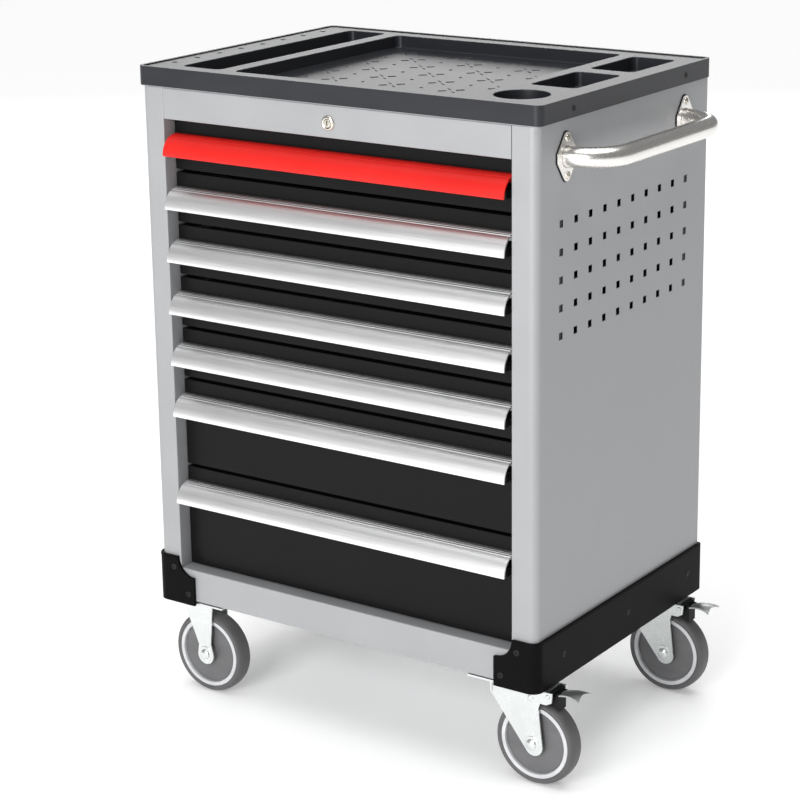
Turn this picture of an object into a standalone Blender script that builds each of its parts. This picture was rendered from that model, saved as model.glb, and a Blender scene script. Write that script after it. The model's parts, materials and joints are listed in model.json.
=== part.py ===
"""Rolling tool chest: a painted steel cabinet with seven drawers, a moulded worktop and four casters.

Metres, +Z up, the drawers open towards -Y. Sizes are set in the cabinet's own frame, whose zero
is the middle of the cabinet on the floor, and FRAME_SHIFT moves that to the middle of the whole
object's box.
"""

import math

import bmesh
import bpy
from mathutils import Matrix, Vector

# Overall sizes; the height is the sum of what is stacked between the floor and the worktop
CABINET_WIDTH = 0.659
CABINET_DEPTH = 0.465

# Clearance between touching pieces, and the reach of a cutter that passes right through
GAP = 0.0003
THROUGH = 0.060
SHARP_ANGLE = 35

# Sheet metal
SHEET = 0.0012
HEAVY_SHEET = 0.0015
CORNER_RADIUS = 0.012
REAR_FLANGE = 0.016
POST_WIDTH = 0.0388
POST_RETURN = 0.040
HEADER_HEIGHT = 0.0445
HEADER_RETURN = 0.020
BOTTOM_RAIL_HEIGHT = 0.0494
RAIL_LEDGE = 0.040
RAIL_LIP = 0.010
FLOOR_FLANGE = 0.008
GUIDE_WIDTH = 0.004
GUIDE_LENGTH = 0.020
GUIDE_RISE = 0.180
GUIDE_DROP = 0.030

# Hook holes in the side panels
HOLE_SIZE = 0.010
HOLE_PITCH = 0.038
HOLE_COLUMNS = 10
HOLE_ROWS = 5
TOP_HOLE_DROP = 0.165

# Worktop tray; margins are measured in from its edges
TRAY_OVERHANG = 0.0055
TRAY_END_OVERHANG = 0.0015
TRAY_HEIGHT = 0.027
TRAY_CORNER = 0.011
TRAY_LIP_WIDTH = 0.005
TRAY_LIP_HEIGHT = 0.0015
RECESS_LEFT_MARGIN = 0.150
RECESS_RIGHT_MARGIN = 0.128
RECESS_FRONT_MARGIN = 0.032
RECESS_BACK_MARGIN = 0.034
RECESS_DEPTH = 0.019
SLOT_MARGIN = 0.055
SLOT_WIDTH = 0.068
SLOT_FRONT_MARGIN = 0.034
SLOT_BACK_MARGIN = 0.026
POCKET_MARGIN = 0.035
NEAR_POCKET_WIDTH = 0.071
FAR_POCKET_WIDTH = 0.069
FAR_POCKET_LENGTH = 0.125
FAR_POCKET_BACK_MARGIN = 0.042
POCKET_WEB = 0.031
POCKET_DEPTH = 0.021
POCKET_CORNER = 0.008
CUP_MARGIN = 0.072
CUP_RADIUS = 0.0375
CUP_WEB = 0.0365
TOOL_HOLE_COUNT = 8
TOOL_HOLE_PITCH = 0.051
TOOL_HOLE_RADIUS = 0.0045
TOOL_HOLE_MARGIN = 0.024

# Drawers, from the top down
SMALL_PITCH = 0.0774
MIDDLE_PITCH = 0.1344
LARGE_PITCH = 0.1573
SMALL_COUNT = 5
FRONT_GAP = 0.005
FRONT_RECESS = 0.0215
FRONT_THICKNESS = 0.014
FRONT_SIDE_CLEARANCE = 0.0023
PAN_SIDE_SPACE = 0.0137
PAN_BACK_SPACE = 0.0425
PAN_LIFT = 0.005
PAN_HEADROOM = 0.026

# Drawer slides
RUNNER_HEIGHT = 0.020
RUNNER_REACH = 0.0105
RUNNER_END_SPACE = 0.0096
RUNNER_LIFT = 0.014
CHANNEL_CLEARANCE = 0.0015
CHANNEL_WIDTH = 0.0105
CHANNEL_OVERRUN = 0.0011
UPRIGHT_DEPTH = 0.030
UPRIGHT_INSET = 0.045
SLIDE_CLEARANCE = 0.0003

# Pulls and drawer latches
PULL_INSET = 0.0052
PULL_DROP = 0.0227
PULL_RADIUS = 0.028
PULL_SHELF = 0.004
PULL_WALL = 0.0022
PULL_FLANGE = 0.012
LATCH_WIDTH = 0.020
LATCH_INSET = 0.004
LATCH_DEPTH = 0.020
LATCH_HEIGHT = 0.0115
LATCH_SHOW = 0.0035
LATCH_CHAMFER = 0.0015

# Central lock
LOCK_DROP = 0.024
ESCUTCHEON_RADIUS = 0.0105
ESCUTCHEON_THICKNESS = 0.003
ESCUTCHEON_CHAMFER = 0.001
BARREL_RADIUS = 0.0085
BARREL_LENGTH = 0.026
PLUG_RADIUS = 0.006
PLUG_CLEARANCE = 0.0005
PLUG_TAIL = 0.004
KEYWAY_WIDTH = 0.002
KEYWAY_HEIGHT = 0.007
KEYWAY_DEPTH = 0.006
ROD_RADIUS = 0.004
CAM_RADIUS = 0.014
CAM_THICKNESS = 0.003
CAM_THROW = 0.010
PIN_RADIUS = 0.0028
PIN_CLEARANCE = 0.0006
BAR_WIDTH = 0.028
BAR_THICKNESS = 0.003
BAR_BEHIND_PAN = 0.030
BAR_HEADROOM = 0.006
TOOTH_ARM = 0.002
TOOTH_LENGTH = 0.022
TOOTH_THICKNESS = 0.005
TOOTH_CLEARANCE = 0.0035
TOOTH_WIDTH = 0.016

# Side handle
HANDLE_RADIUS = 0.014
HANDLE_WALL = 0.0015
HANDLE_STANDOFF = 0.0605
HANDLE_ENTRY = 0.004
HANDLE_HALF_SPAN = 0.162
HANDLE_DROP = 0.077
FLANGE_HALF_HEIGHT = 0.033
FLANGE_HALF_WIDTH = 0.024
FLANGE_THICKNESS = 0.003
FLANGE_TIP_RADIUS = 0.009
FLANGE_SIDE = 0.012
FLANGE_SCREW_OFFSET = 0.0245
SCREW_HEAD_RADIUS = 0.0055
SCREW_HEAD_HEIGHT = 0.003
SCREW_CROWN = 0.6

# Corner skirts
SKIRT_WALL = 0.0045
SKIRT_HEIGHT = 0.073
SKIRT_DROP = 0.006
SKIRT_WING = 0.070
SKIRT_SCALLOP = 0.0295

# Casters; an arm's outline is given from its axle, and an ear's from the pedal's pivot
WHEEL_RADIUS = 0.0625
TYRE_WIDTH = 0.029
TYRE_DEPTH = 0.0088
TYRE_SHOULDER = ((0.004, 0.0), (0.0012, 0.0035), (0.0, 0.0075))
CORE_WIDTH = 0.0255
CORE_DISH = 0.003
RING_WIDTH = 0.0072
RING_SLOPE = 0.001
HUB_RADIUS = 0.012
HUB_END_GAP = 0.0007
FORK_INSIDE = 0.0175
FORK_WALL = 0.0025
AXLE_RADIUS = 0.004
AXLE_HEAD_RADIUS = 0.008
AXLE_HEAD_HEIGHT = 0.005
CASTER_SIDE_INSET = 0.0595
CASTER_END_INSET = 0.0435
CASTER_PLATE_LENGTH = 0.105
CASTER_PLATE_WIDTH = 0.084
CASTER_PLATE = 0.003
FORK_HEADROOM = 0.0177
FIXED_ARM_OUT = 0.040
FIXED_ARM_IN = 0.016
FIXED_ARM_SHOULDER = 0.0115
FIXED_ARM_OUTER = ((-0.0165, 0.0235), (-0.0125, 0.0135))
FIXED_ARM_INNER = ((0.0105, 0.0175), (0.0125, 0.0375))
FIXED_TIP_RADIUS = 0.015
FIXED_TIP_DROP = 0.0015
SWIVEL_TRAIL = 0.0385
CROWN_AHEAD = 0.029
CROWN_BEHIND = 0.034
CROWN_SIDE = 0.018
RACE_RADIUS = 0.024
RACE_HEIGHT = 0.006
KINGPIN_RADIUS = 0.005
KINGPIN_HEAD_RADIUS = 0.008
KINGPIN_HEAD_HEIGHT = 0.004
FORK_TIP_RADIUS = 0.0145
FORK_TIP_BEHIND = 0.003
FORK_TIP_DROP = 0.002
FORK_EAR = ((-0.015, -0.021), (-0.012, -0.0125), (-0.002, -0.0125), (0.006, -0.008))
FORK_EAR_BEHIND = 0.007
PIVOT_BEHIND_AXLE = 0.0255
PIVOT_ABOVE_TYRE = 0.014
PEDAL_WIDTH = 0.030
PEDAL_REACH = 0.048
PEDAL_HEEL = 0.004
PEDAL_RISE = 0.0035
PEDAL_THICKNESS = 0.0045
PEDAL_CHAMFER = 0.002
PEDAL_BOSS_RADIUS = 0.0065
PEDAL_PIN_RADIUS = 0.003
PEDAL_PIN_PROUD = 0.001
SHOE_WIDTH = 0.024
SHOE_AHEAD = 0.002
SHOE_BEHIND = 0.012
SHOE_DROP = 0.022
SHOE_CLEARANCE = 0.003

# Colours (linear) with roughness and metallic
SILVER_PAINT = ((0.56, 0.57, 0.58), 0.45, 0.3)
BLACK_PAINT = ((0.012, 0.012, 0.013), 0.35, 0.0)
TRAY_PLASTIC = ((0.030, 0.031, 0.036), 0.5, 0.0)
SKIRT_PLASTIC = ((0.014, 0.012, 0.012), 0.45, 0.0)
RED_PAINT = ((0.85, 0.022, 0.014), 0.4, 0.2)
ALUMINIUM = ((0.85, 0.85, 0.87), 0.3, 0.9)
STAINLESS = ((0.60, 0.58, 0.55), 0.3, 1.0)
ZINC = ((0.80, 0.81, 0.80), 0.3, 0.9)
NICKEL = ((0.66, 0.62, 0.55), 0.25, 1.0)
TYRE_GREY = ((0.16, 0.155, 0.16), 0.6, 0.0)
CORE_GREY = ((0.30, 0.30, 0.31), 0.5, 0.0)

# Heights that follow from the sizes above, from the floor up
PLATE_BOTTOM = 2 * WHEEL_RADIUS + FORK_HEADROOM + FORK_WALL + GAP + RACE_HEIGHT
PLATE_TOP = PLATE_BOTTOM + CASTER_PLATE
FLOOR_BOTTOM = PLATE_TOP + GAP
UNDERSIDE_HEIGHT = FLOOR_BOTTOM + HEAVY_SHEET + GAP
OPENING_BOTTOM = UNDERSIDE_HEIGHT + BOTTOM_RAIL_HEIGHT
OPENING_TOP = OPENING_BOTTOM + SMALL_COUNT * SMALL_PITCH + MIDDLE_PITCH + LARGE_PITCH
BODY_TOP = OPENING_TOP + HEADER_HEIGHT
TOP_PANEL_TOP = BODY_TOP + GAP + SHEET
TRAY_BOTTOM = TOP_PANEL_TOP + GAP
OVERALL_HEIGHT = TRAY_BOTTOM + TRAY_HEIGHT

# Other places that follow
HALF_WIDTH = CABINET_WIDTH / 2
HALF_DEPTH = CABINET_DEPTH / 2
HALF_OPENING = HALF_WIDTH - POST_WIDTH
HALF_PAN = HALF_OPENING - PAN_SIDE_SPACE
HALF_PULL = HALF_OPENING - PULL_INSET
TRAY_SIDE = HALF_WIDTH + TRAY_OVERHANG
TRAY_END = HALF_DEPTH + TRAY_END_OVERHANG
CORE_RADIUS = WHEEL_RADIUS - TYRE_DEPTH
CASTER_X = HALF_WIDTH - CASTER_SIDE_INSET
CASTER_Y = HALF_DEPTH - CASTER_END_INSET
SWIVEL_WHEEL_X = CASTER_X + SWIVEL_TRAIL
PIVOT_X = SWIVEL_WHEEL_X + PIVOT_BEHIND_AXLE
PIVOT_Z = 2 * WHEEL_RADIUS + PIVOT_ABOVE_TYRE
FACE_Y = -HALF_DEPTH + FRONT_RECESS
PAN_FRONT = FACE_Y + FRONT_THICKNESS
PAN_BACK = HALF_DEPTH - PAN_BACK_SPACE
LOCK_Z = BODY_TOP - LOCK_DROP
HANDLE_Z = OVERALL_HEIGHT - HANDLE_DROP
BAR_FRONT = PAN_BACK + BAR_BEHIND_PAN
CAM_BACK = BAR_FRONT - 2 * GAP
CAM_PIN = CAM_THROW * math.sqrt(0.5)
CHANNEL_OUTSIDE = HALF_OPENING - SLIDE_CLEARANCE
X_AXIS, Y_AXIS, Z_AXIS = "X", "Y", "Z"

handle_outside = HALF_WIDTH + HANDLE_STANDOFF + HANDLE_RADIUS
pull_front = FACE_Y - GAP - PULL_SHELF - PULL_RADIUS
skirt_back = HALF_DEPTH + GAP + SKIRT_WALL
FRAME_SHIFT = Vector(((TRAY_SIDE - handle_outside) / 2, -(pull_front + skirt_back) / 2, 0.0))


def clear_scene():
    for thing in list(bpy.data.objects):
        bpy.data.objects.remove(thing)


def new_collection(name):
    collection = bpy.data.collections.new(name)
    bpy.context.scene.collection.children.link(collection)
    return collection


clear_scene()
CHEST = new_collection("rolling_tool_chest")
CUTTERS = new_collection("cutters")
ORIGIN = bpy.data.objects.new("chest_origin", None)
CHEST.objects.link(ORIGIN)
ORIGIN.location = FRAME_SHIFT
bpy.context.view_layer.update()


# Materials and objects


def material(name, finish):
    colour, roughness, metallic = finish
    made = bpy.data.materials.get(name)
    if made:
        return made
    made = bpy.data.materials.new(name)
    made.use_nodes = True
    shader = made.node_tree.nodes["Principled BSDF"]
    shader.inputs["Base Color"].default_value = (*colour, 1.0)
    shader.inputs["Roughness"].default_value = roughness
    shader.inputs["Metallic"].default_value = metallic
    return made


def object_of(name, mesh):
    made = bpy.data.objects.new(name, mesh)
    CUTTERS.objects.link(made)
    made.hide_render = True
    made.display_type = "WIRE"
    return made


def part(name, thing, finish, pivot=(0.0, 0.0, 0.0), smooth=True):
    """Turns a helper object into a finished piece whose origin is at the pivot, in the chest's frame."""
    CUTTERS.objects.unlink(thing)
    CHEST.objects.link(thing)
    thing.name = name
    thing.data.name = name
    thing.hide_render = False
    thing.display_type = "TEXTURED"
    thing.data.materials.clear()
    thing.data.materials.append(material(name + "_finish", finish))
    thing.data.transform(Matrix.Translation(-Vector(pivot)))
    thing.parent = ORIGIN
    thing.location = pivot
    if smooth:
        thing.data.shade_smooth()
        thing.data.set_sharp_from_angle(angle=math.radians(SHARP_ANGLE))
    return thing


def mesh_of(bm, name):
    mesh = bpy.data.meshes.new(name)
    bm.to_mesh(mesh)
    bm.free()
    return mesh


def apply_modifiers(thing):
    """Replaces an object's mesh with the one that its modifiers make."""
    graph = bpy.context.evaluated_depsgraph_get()
    mesh = bpy.data.meshes.new_from_object(thing.evaluated_get(graph))
    thing.modifiers.clear()
    thing.data = mesh
    return thing


# Shapes


def box(low, high, bevel=0.0, segments=2):
    bm = bmesh.new()
    bmesh.ops.create_cube(bm, size=1.0)
    size = Vector(high) - Vector(low)
    middle = (Vector(high) + Vector(low)) / 2
    bmesh.ops.scale(bm, vec=size, verts=bm.verts)
    bmesh.ops.translate(bm, vec=middle, verts=bm.verts)
    if bevel:
        edges = bm.edges[:]
        bmesh.ops.bevel(bm, geom=edges, offset=bevel, segments=segments, affect="EDGES", profile=0.5)
    return object_of("box", mesh_of(bm, "box"))


def boxes(pairs):
    """Several separate boxes in one mesh, for a cutter or a union."""
    bm = bmesh.new()
    for low, high in pairs:
        made = bmesh.ops.create_cube(bm, size=1.0)["verts"]
        bmesh.ops.scale(bm, vec=Vector(high) - Vector(low), verts=made)
        bmesh.ops.translate(bm, vec=(Vector(high) + Vector(low)) / 2, verts=made)
    return object_of("boxes", mesh_of(bm, "boxes"))


AXIS_TURN = {
    X_AXIS: Matrix.Rotation(math.radians(90), 4, "Y"),
    Y_AXIS: Matrix.Rotation(math.radians(-90), 4, "X"),
    Z_AXIS: Matrix.Identity(4),
}


def cylinder(centre, radius, length, axis, sides=24, radius_end=None):
    bm = bmesh.new()
    end = radius if radius_end is None else radius_end
    bmesh.ops.create_cone(
        bm, cap_ends=True, segments=sides, radius1=radius, radius2=end, depth=length
    )
    bmesh.ops.transform(bm, matrix=AXIS_TURN[axis], verts=bm.verts)
    bmesh.ops.translate(bm, vec=Vector(centre), verts=bm.verts)
    return object_of("cylinder", mesh_of(bm, "cylinder"))


def welded_curve(curve_object, name):
    graph = bpy.context.evaluated_depsgraph_get()
    mesh = bpy.data.meshes.new_from_object(curve_object.evaluated_get(graph))
    mesh.transform(curve_object.matrix_world)
    bm = bmesh.new()
    bm.from_mesh(mesh)
    bmesh.ops.remove_doubles(bm, verts=bm.verts, dist=0.00001)
    bmesh.ops.recalc_face_normals(bm, faces=bm.faces)
    bpy.data.objects.remove(curve_object)
    return object_of(name, mesh_of(bm, name))


def outline_plate(points, thickness, place):
    """A flat outline of (u, v) points given a thickness along w, put in place by a matrix."""
    curve = bpy.data.curves.new("outline", "CURVE")
    curve.dimensions = "2D"
    curve.fill_mode = "BOTH"
    curve.extrude = thickness / 2
    spline = curve.splines.new("POLY")
    spline.points.add(len(points) - 1)
    for point, (u, v) in zip(spline.points, points):
        point.co = (u, v, 0.0, 1.0)
    spline.use_cyclic_u = True
    outline = bpy.data.objects.new("outline", curve)
    CUTTERS.objects.link(outline)
    outline.matrix_world = place
    bpy.context.view_layer.update()
    return welded_curve(outline, "plate")


def facing_front(y):
    """Takes outline (u, v) to (X, Z) at the given Y."""
    return Matrix.Translation((0.0, y, 0.0)) @ Matrix.Rotation(math.radians(90), 4, "X")


def facing_side(x):
    """Takes outline (u, v) to (Y, Z) at the given X."""
    turn = Matrix(((0, 0, 1, 0), (1, 0, 0, 0), (0, 1, 0, 0), (0, 0, 0, 1)))
    return Matrix.Translation((x, 0.0, 0.0)) @ turn


def folded_sheet(path, thickness, start, end, axis, inside=1.0):
    """A sheet folded along a path of (u, v) points and drawn out along an axis.

    The path is the sheet's outer face. For axis Z, (u, v) is (X, Y); for X it is (Y, Z) and
    for Y it is (X, Z). inside is 1 or -1, for the side that the thickness goes to.
    """
    bm = bmesh.new()
    rings = []
    for w in (start, end):
        ring = []
        for u, v in path:
            place = {Z_AXIS: (u, v, w), X_AXIS: (w, u, v), Y_AXIS: (u, w, v)}[axis]
            ring.append(bm.verts.new(place))
        rings.append(ring)
    for i in range(len(path) - 1):
        bm.faces.new((rings[0][i], rings[0][i + 1], rings[1][i + 1], rings[1][i]))
    sheet = object_of("sheet", mesh_of(bm, "sheet"))
    solid = sheet.modifiers.new("thickness", "SOLIDIFY")
    solid.thickness = thickness
    solid.offset = inside
    solid.use_even_offset = True
    bpy.context.view_layer.update()
    apply_modifiers(sheet)
    return facing_out(sheet)


def facing_out(thing):
    bm = bmesh.new()
    bm.from_mesh(thing.data)
    bmesh.ops.recalc_face_normals(bm, faces=bm.faces)
    bm.to_mesh(thing.data)
    bm.free()
    return thing


def turned(profile, centre, axis, steps):
    """A profile of (radius, height) points, top to bottom on the outside, turned about an axis."""
    mesh = bpy.data.meshes.new("profile")
    points = [(radius, 0.0, height) for radius, height in profile]
    edges = [(i, i + 1) for i in range(len(points) - 1)]
    if profile[0][0] > 0.0:
        edges.append((len(points) - 1, 0))
    mesh.from_pydata(points, edges, [])
    made = object_of("turned", mesh)
    screw = made.modifiers.new("turn", "SCREW")
    screw.axis = "Z"
    screw.steps = steps
    screw.render_steps = steps
    screw.use_merge_vertices = True
    screw.merge_threshold = 0.00001
    bpy.context.view_layer.update()
    apply_modifiers(made)
    made.data.transform(Matrix.Translation(centre) @ AXIS_TURN[axis])
    return facing_out(made)


def combine(thing, other, operation):
    boolean = thing.modifiers.new(operation.lower(), "BOOLEAN")
    boolean.object = other
    boolean.operation = operation
    boolean.solver = "EXACT"
    bpy.context.view_layer.update()
    apply_modifiers(thing)
    bpy.data.objects.remove(other)
    return thing


def cut(thing, other):
    return combine(thing, other, "DIFFERENCE")


def joined(thing, *others):
    for other in others:
        combine(thing, other, "UNION")
    return thing


def arc(centre, radius, first, last, count):
    """Points on an arc from one angle to another, in degrees."""
    made = []
    for i in range(count + 1):
        angle = math.radians(first + (last - first) * i / count)
        made.append((centre[0] + radius * math.cos(angle), centre[1] + radius * math.sin(angle)))
    return made


def rounded_rectangle(left, right, low, high, radius, count=3):
    return (
        arc((right - radius, high - radius), radius, 0, 90, count)
        + arc((left + radius, high - radius), radius, 90, 180, count)
        + arc((left + radius, low + radius), radius, 180, 270, count)
        + arc((right - radius, low + radius), radius, 270, 360, count)
    )


# Cabinet


def side_panel(side):
    """Side, rounded front post and rear flange, folded from one sheet and pierced for hooks."""
    outer = side * HALF_WIDTH
    inner = side * HALF_OPENING
    turn_centre = (outer - side * CORNER_RADIUS, -HALF_DEPTH + CORNER_RADIUS)
    first, last = (-90, 0) if side > 0 else (270, 180)
    path = [(inner, -HALF_DEPTH + POST_RETURN), (inner, -HALF_DEPTH)]
    path += arc(turn_centre, CORNER_RADIUS, first, last, 4)
    path += [(outer, HALF_DEPTH), (outer - side * REAR_FLANGE, HALF_DEPTH)]
    panel = folded_sheet(path, SHEET, UNDERSIDE_HEIGHT, BODY_TOP, Z_AXIS, inside=-side)
    half_grid = HOLE_PITCH * (HOLE_COLUMNS - 1) / 2
    top_row = OVERALL_HEIGHT - TOP_HOLE_DROP
    half = HOLE_SIZE / 2
    reach = 4 * SHEET
    holes = []
    for column in range(HOLE_COLUMNS):
        for row in range(HOLE_ROWS):
            y = -half_grid + column * HOLE_PITCH
            z = top_row - row * HOLE_PITCH
            holes.append(((outer - reach, y - half, z - half), (outer + reach, y + half, z + half)))
    return cut(panel, boxes(holes))


def header_rail():
    """Front rail over the drawers, with a hole for the lock."""
    face = -HALF_DEPTH
    path = [
        (face + HEADER_RETURN, OPENING_TOP),
        (face, OPENING_TOP),
        (face, BODY_TOP),
        (face + HEADER_RETURN, BODY_TOP),
    ]
    half = HALF_OPENING - GAP
    rail = folded_sheet(path, SHEET, -half, half, X_AXIS, inside=1.0)
    hole = cylinder((0.0, face, LOCK_Z), BARREL_RADIUS + PLUG_CLEARANCE, HEADER_RETURN, Y_AXIS)
    return cut(rail, hole)


def bottom_rail():
    """Front rail under the drawers, whose top is a ledge."""
    face = -HALF_DEPTH
    path = [
        (face + RAIL_LEDGE, OPENING_BOTTOM - RAIL_LIP),
        (face + RAIL_LEDGE, OPENING_BOTTOM),
        (face, OPENING_BOTTOM),
        (face, UNDERSIDE_HEIGHT),
        (face + HEADER_RETURN, UNDERSIDE_HEIGHT),
    ]
    half = HALF_OPENING - GAP
    return folded_sheet(path, SHEET, -half, half, X_AXIS, inside=-1.0)


def floor_pan():
    side = HALF_WIDTH - SHEET - GAP
    path = [
        (-side, UNDERSIDE_HEIGHT + FLOOR_FLANGE),
        (-side, FLOOR_BOTTOM),
        (side, FLOOR_BOTTOM),
        (side, UNDERSIDE_HEIGHT + FLOOR_FLANGE),
    ]
    front = -HALF_DEPTH + CORNER_RADIUS + GAP
    back = HALF_DEPTH - 2 * (SHEET + GAP)
    return folded_sheet(path, HEAVY_SHEET, front, back, Y_AXIS, inside=1.0)


def back_panel():
    """Flat back with two pairs of guides for the locking bar."""
    face = HALF_DEPTH - SHEET - GAP
    side = HALF_WIDTH - SHEET - GAP
    panel = box(
        (-side, face - SHEET, UNDERSIDE_HEIGHT + GAP), (side, face, BODY_TOP - GAP)
    )
    guides = []
    left = CAM_PIN - BAR_WIDTH / 2
    right = CAM_PIN + BAR_WIDTH / 2
    slack = 2 * GAP
    for z in (UNDERSIDE_HEIGHT + GUIDE_RISE, OPENING_TOP - GUIDE_DROP):
        for low in (left - slack - GUIDE_WIDTH, right + slack):
            corner = (low + GUIDE_WIDTH, face - SHEET / 2, z + GUIDE_LENGTH)
            guides.append(((low, BAR_FRONT, z), corner))
    return joined(panel, boxes(guides))


def top_panel():
    return box(
        (-HALF_WIDTH, -HALF_DEPTH, TOP_PANEL_TOP - SHEET), (HALF_WIDTH, HALF_DEPTH, TOP_PANEL_TOP)
    )


def tray_pockets():
    """(left, right, front, back) and depth of the main recess, the slot and the two side pockets."""
    slot_left = SLOT_MARGIN - TRAY_SIDE
    pocket_right = TRAY_SIDE - POCKET_MARGIN
    far_back = TRAY_END - FAR_POCKET_BACK_MARGIN
    far_front = far_back - FAR_POCKET_LENGTH
    near_front = CUP_MARGIN - TRAY_END + CUP_RADIUS + CUP_WEB
    recess_sides = (RECESS_LEFT_MARGIN - TRAY_SIDE, TRAY_SIDE - RECESS_RIGHT_MARGIN)
    recess_ends = (RECESS_FRONT_MARGIN - TRAY_END, TRAY_END - RECESS_BACK_MARGIN)
    slot_ends = (SLOT_FRONT_MARGIN - TRAY_END, TRAY_END - SLOT_BACK_MARGIN)
    near_left = pocket_right - NEAR_POCKET_WIDTH
    far_left = pocket_right - FAR_POCKET_WIDTH
    return (
        ((*recess_sides, *recess_ends), RECESS_DEPTH),
        ((slot_left, slot_left + SLOT_WIDTH, *slot_ends), POCKET_DEPTH),
        ((near_left, pocket_right, near_front, far_front - POCKET_WEB), POCKET_DEPTH),
        ((far_left, pocket_right, far_front, far_back), POCKET_DEPTH),
    )


def worktop_tray():
    """Moulded tray: a raised lip round it, a main recess, three pockets, a cup and tool holes."""
    middle = TRAY_BOTTOM + TRAY_HEIGHT / 2
    body = outline_plate(
        rounded_rectangle(-TRAY_SIDE, TRAY_SIDE, -TRAY_END, TRAY_END, TRAY_CORNER, 4),
        TRAY_HEIGHT,
        Matrix.Translation((0.0, 0.0, middle)),
    )
    surface = OVERALL_HEIGHT - TRAY_LIP_HEIGHT

    def hollow(outline, depth):
        top = OVERALL_HEIGHT + TRAY_HEIGHT
        low = surface - depth
        return outline_plate(outline, top - low, Matrix.Translation((0.0, 0.0, (top + low) / 2)))

    side = TRAY_SIDE - TRAY_LIP_WIDTH
    end = TRAY_END - TRAY_LIP_WIDTH
    cut(body, hollow(rounded_rectangle(-side, side, -end, end, TRAY_CORNER - TRAY_LIP_WIDTH, 3), 0.0))
    for pocket, depth in tray_pockets():
        cut(body, hollow(rounded_rectangle(*pocket, POCKET_CORNER, 3), depth))
    cup = (TRAY_SIDE - CUP_MARGIN, CUP_MARGIN - TRAY_END)
    cut(body, hollow(arc(cup, CUP_RADIUS, 0, 345, 23), POCKET_DEPTH))
    first = -TOOL_HOLE_PITCH * (TOOL_HOLE_COUNT - 1) / 2
    for i in range(TOOL_HOLE_COUNT):
        place = (TOOL_HOLE_MARGIN - TRAY_SIDE, first + i * TOOL_HOLE_PITCH)
        cut(body, hollow(arc(place, TOOL_HOLE_RADIUS, 0, 315, 7), POCKET_DEPTH))
    return body


def skirt(side):
    """Plastic wrap round one side's foot, with a scalloped wing on the front and the back."""
    outer = HALF_WIDTH + GAP + SKIRT_WALL
    front = HALF_DEPTH + GAP + SKIRT_WALL
    radius = CORNER_RADIUS + GAP + SKIRT_WALL
    wing = side * (outer - SKIRT_WING)
    first, last = (-90, 0) if side > 0 else (270, 180)
    path = [(wing, -front)]
    path += arc((side * (outer - radius), -front + radius), radius, first, last, 4)
    first, last = (0, 90) if side > 0 else (180, 90)
    path += arc((side * (outer - SKIRT_WALL), front - SKIRT_WALL), SKIRT_WALL, first, last, 2)
    path += [(wing, front)]
    low = UNDERSIDE_HEIGHT - SKIRT_DROP
    high = low + SKIRT_HEIGHT
    wrap = folded_sheet(path, SKIRT_WALL, low, high, Z_AXIS, inside=-side)
    for y in (-front, front):
        scallop = cylinder((wing, y, high), SKIRT_SCALLOP, 4 * SKIRT_WALL, Y_AXIS, 32)
        cut(wrap, scallop)
    return wrap


# Slides


def drawer_rows():
    """(name, low z, high z) of each drawer front, from the top down."""
    rows = []
    top = OPENING_TOP
    pitches = [SMALL_PITCH] * SMALL_COUNT + [MIDDLE_PITCH, LARGE_PITCH]
    for number, pitch in enumerate(pitches, start=1):
        low = top - pitch
        rows.append((f"drawer_{number}", low + FRONT_GAP / 2, top - FRONT_GAP / 2))
        top = low
    return rows


def slide_rack(side):
    """Two box uprights that carry a channel for each drawer."""
    outside = HALF_WIDTH - SHEET - GAP
    low_z = UNDERSIDE_HEIGHT + FLOOR_FLANGE + GAP
    web = CHANNEL_OUTSIDE - SHEET
    uprights = []
    front = -HALF_DEPTH + UPRIGHT_INSET
    back = HALF_DEPTH - UPRIGHT_INSET - UPRIGHT_DEPTH
    for y in (front, back):
        post = [(web, y), (outside, y), (outside, y + UPRIGHT_DEPTH), (web, y + UPRIGHT_DEPTH)]
        post = [(side * u, v) for u, v in post]
        centre = (low_z + BODY_TOP) / 2 - GAP
        solid = outline_plate(post, BODY_TOP - low_z - 2 * GAP, Matrix.Translation((0, 0, centre)))
        hollow = [
            (web + HEAVY_SHEET, y + HEAVY_SHEET),
            (outside - HEAVY_SHEET, y + HEAVY_SHEET),
            (outside - HEAVY_SHEET, y + UPRIGHT_DEPTH - HEAVY_SHEET),
            (web + HEAVY_SHEET, y + UPRIGHT_DEPTH - HEAVY_SHEET),
        ]
        hollow = [(side * u, v) for u, v in hollow]
        core = outline_plate(hollow, BODY_TOP, Matrix.Translation((0, 0, centre)))
        uprights.append(cut(solid, core))
    rack = uprights[0]
    tip = CHANNEL_OUTSIDE - CHANNEL_WIDTH
    start = -HALF_DEPTH + POST_RETURN + 2 * GAP
    channels = []
    for _, low, _ in drawer_rows():
        foot = low + PAN_LIFT + RUNNER_LIFT - CHANNEL_CLEARANCE - SHEET
        head = foot + RUNNER_HEIGHT + 2 * CHANNEL_CLEARANCE + 2 * SHEET
        path = [
            (side * tip, foot),
            (side * CHANNEL_OUTSIDE, foot),
            (side * CHANNEL_OUTSIDE, head),
            (side * tip, head),
        ]
        channels.append(
            folded_sheet(path, SHEET, start, PAN_BACK + CHANNEL_OVERRUN, Y_AXIS, inside=side)
        )
    return joined(rack, uprights[1], *channels)


# Drawers


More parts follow.
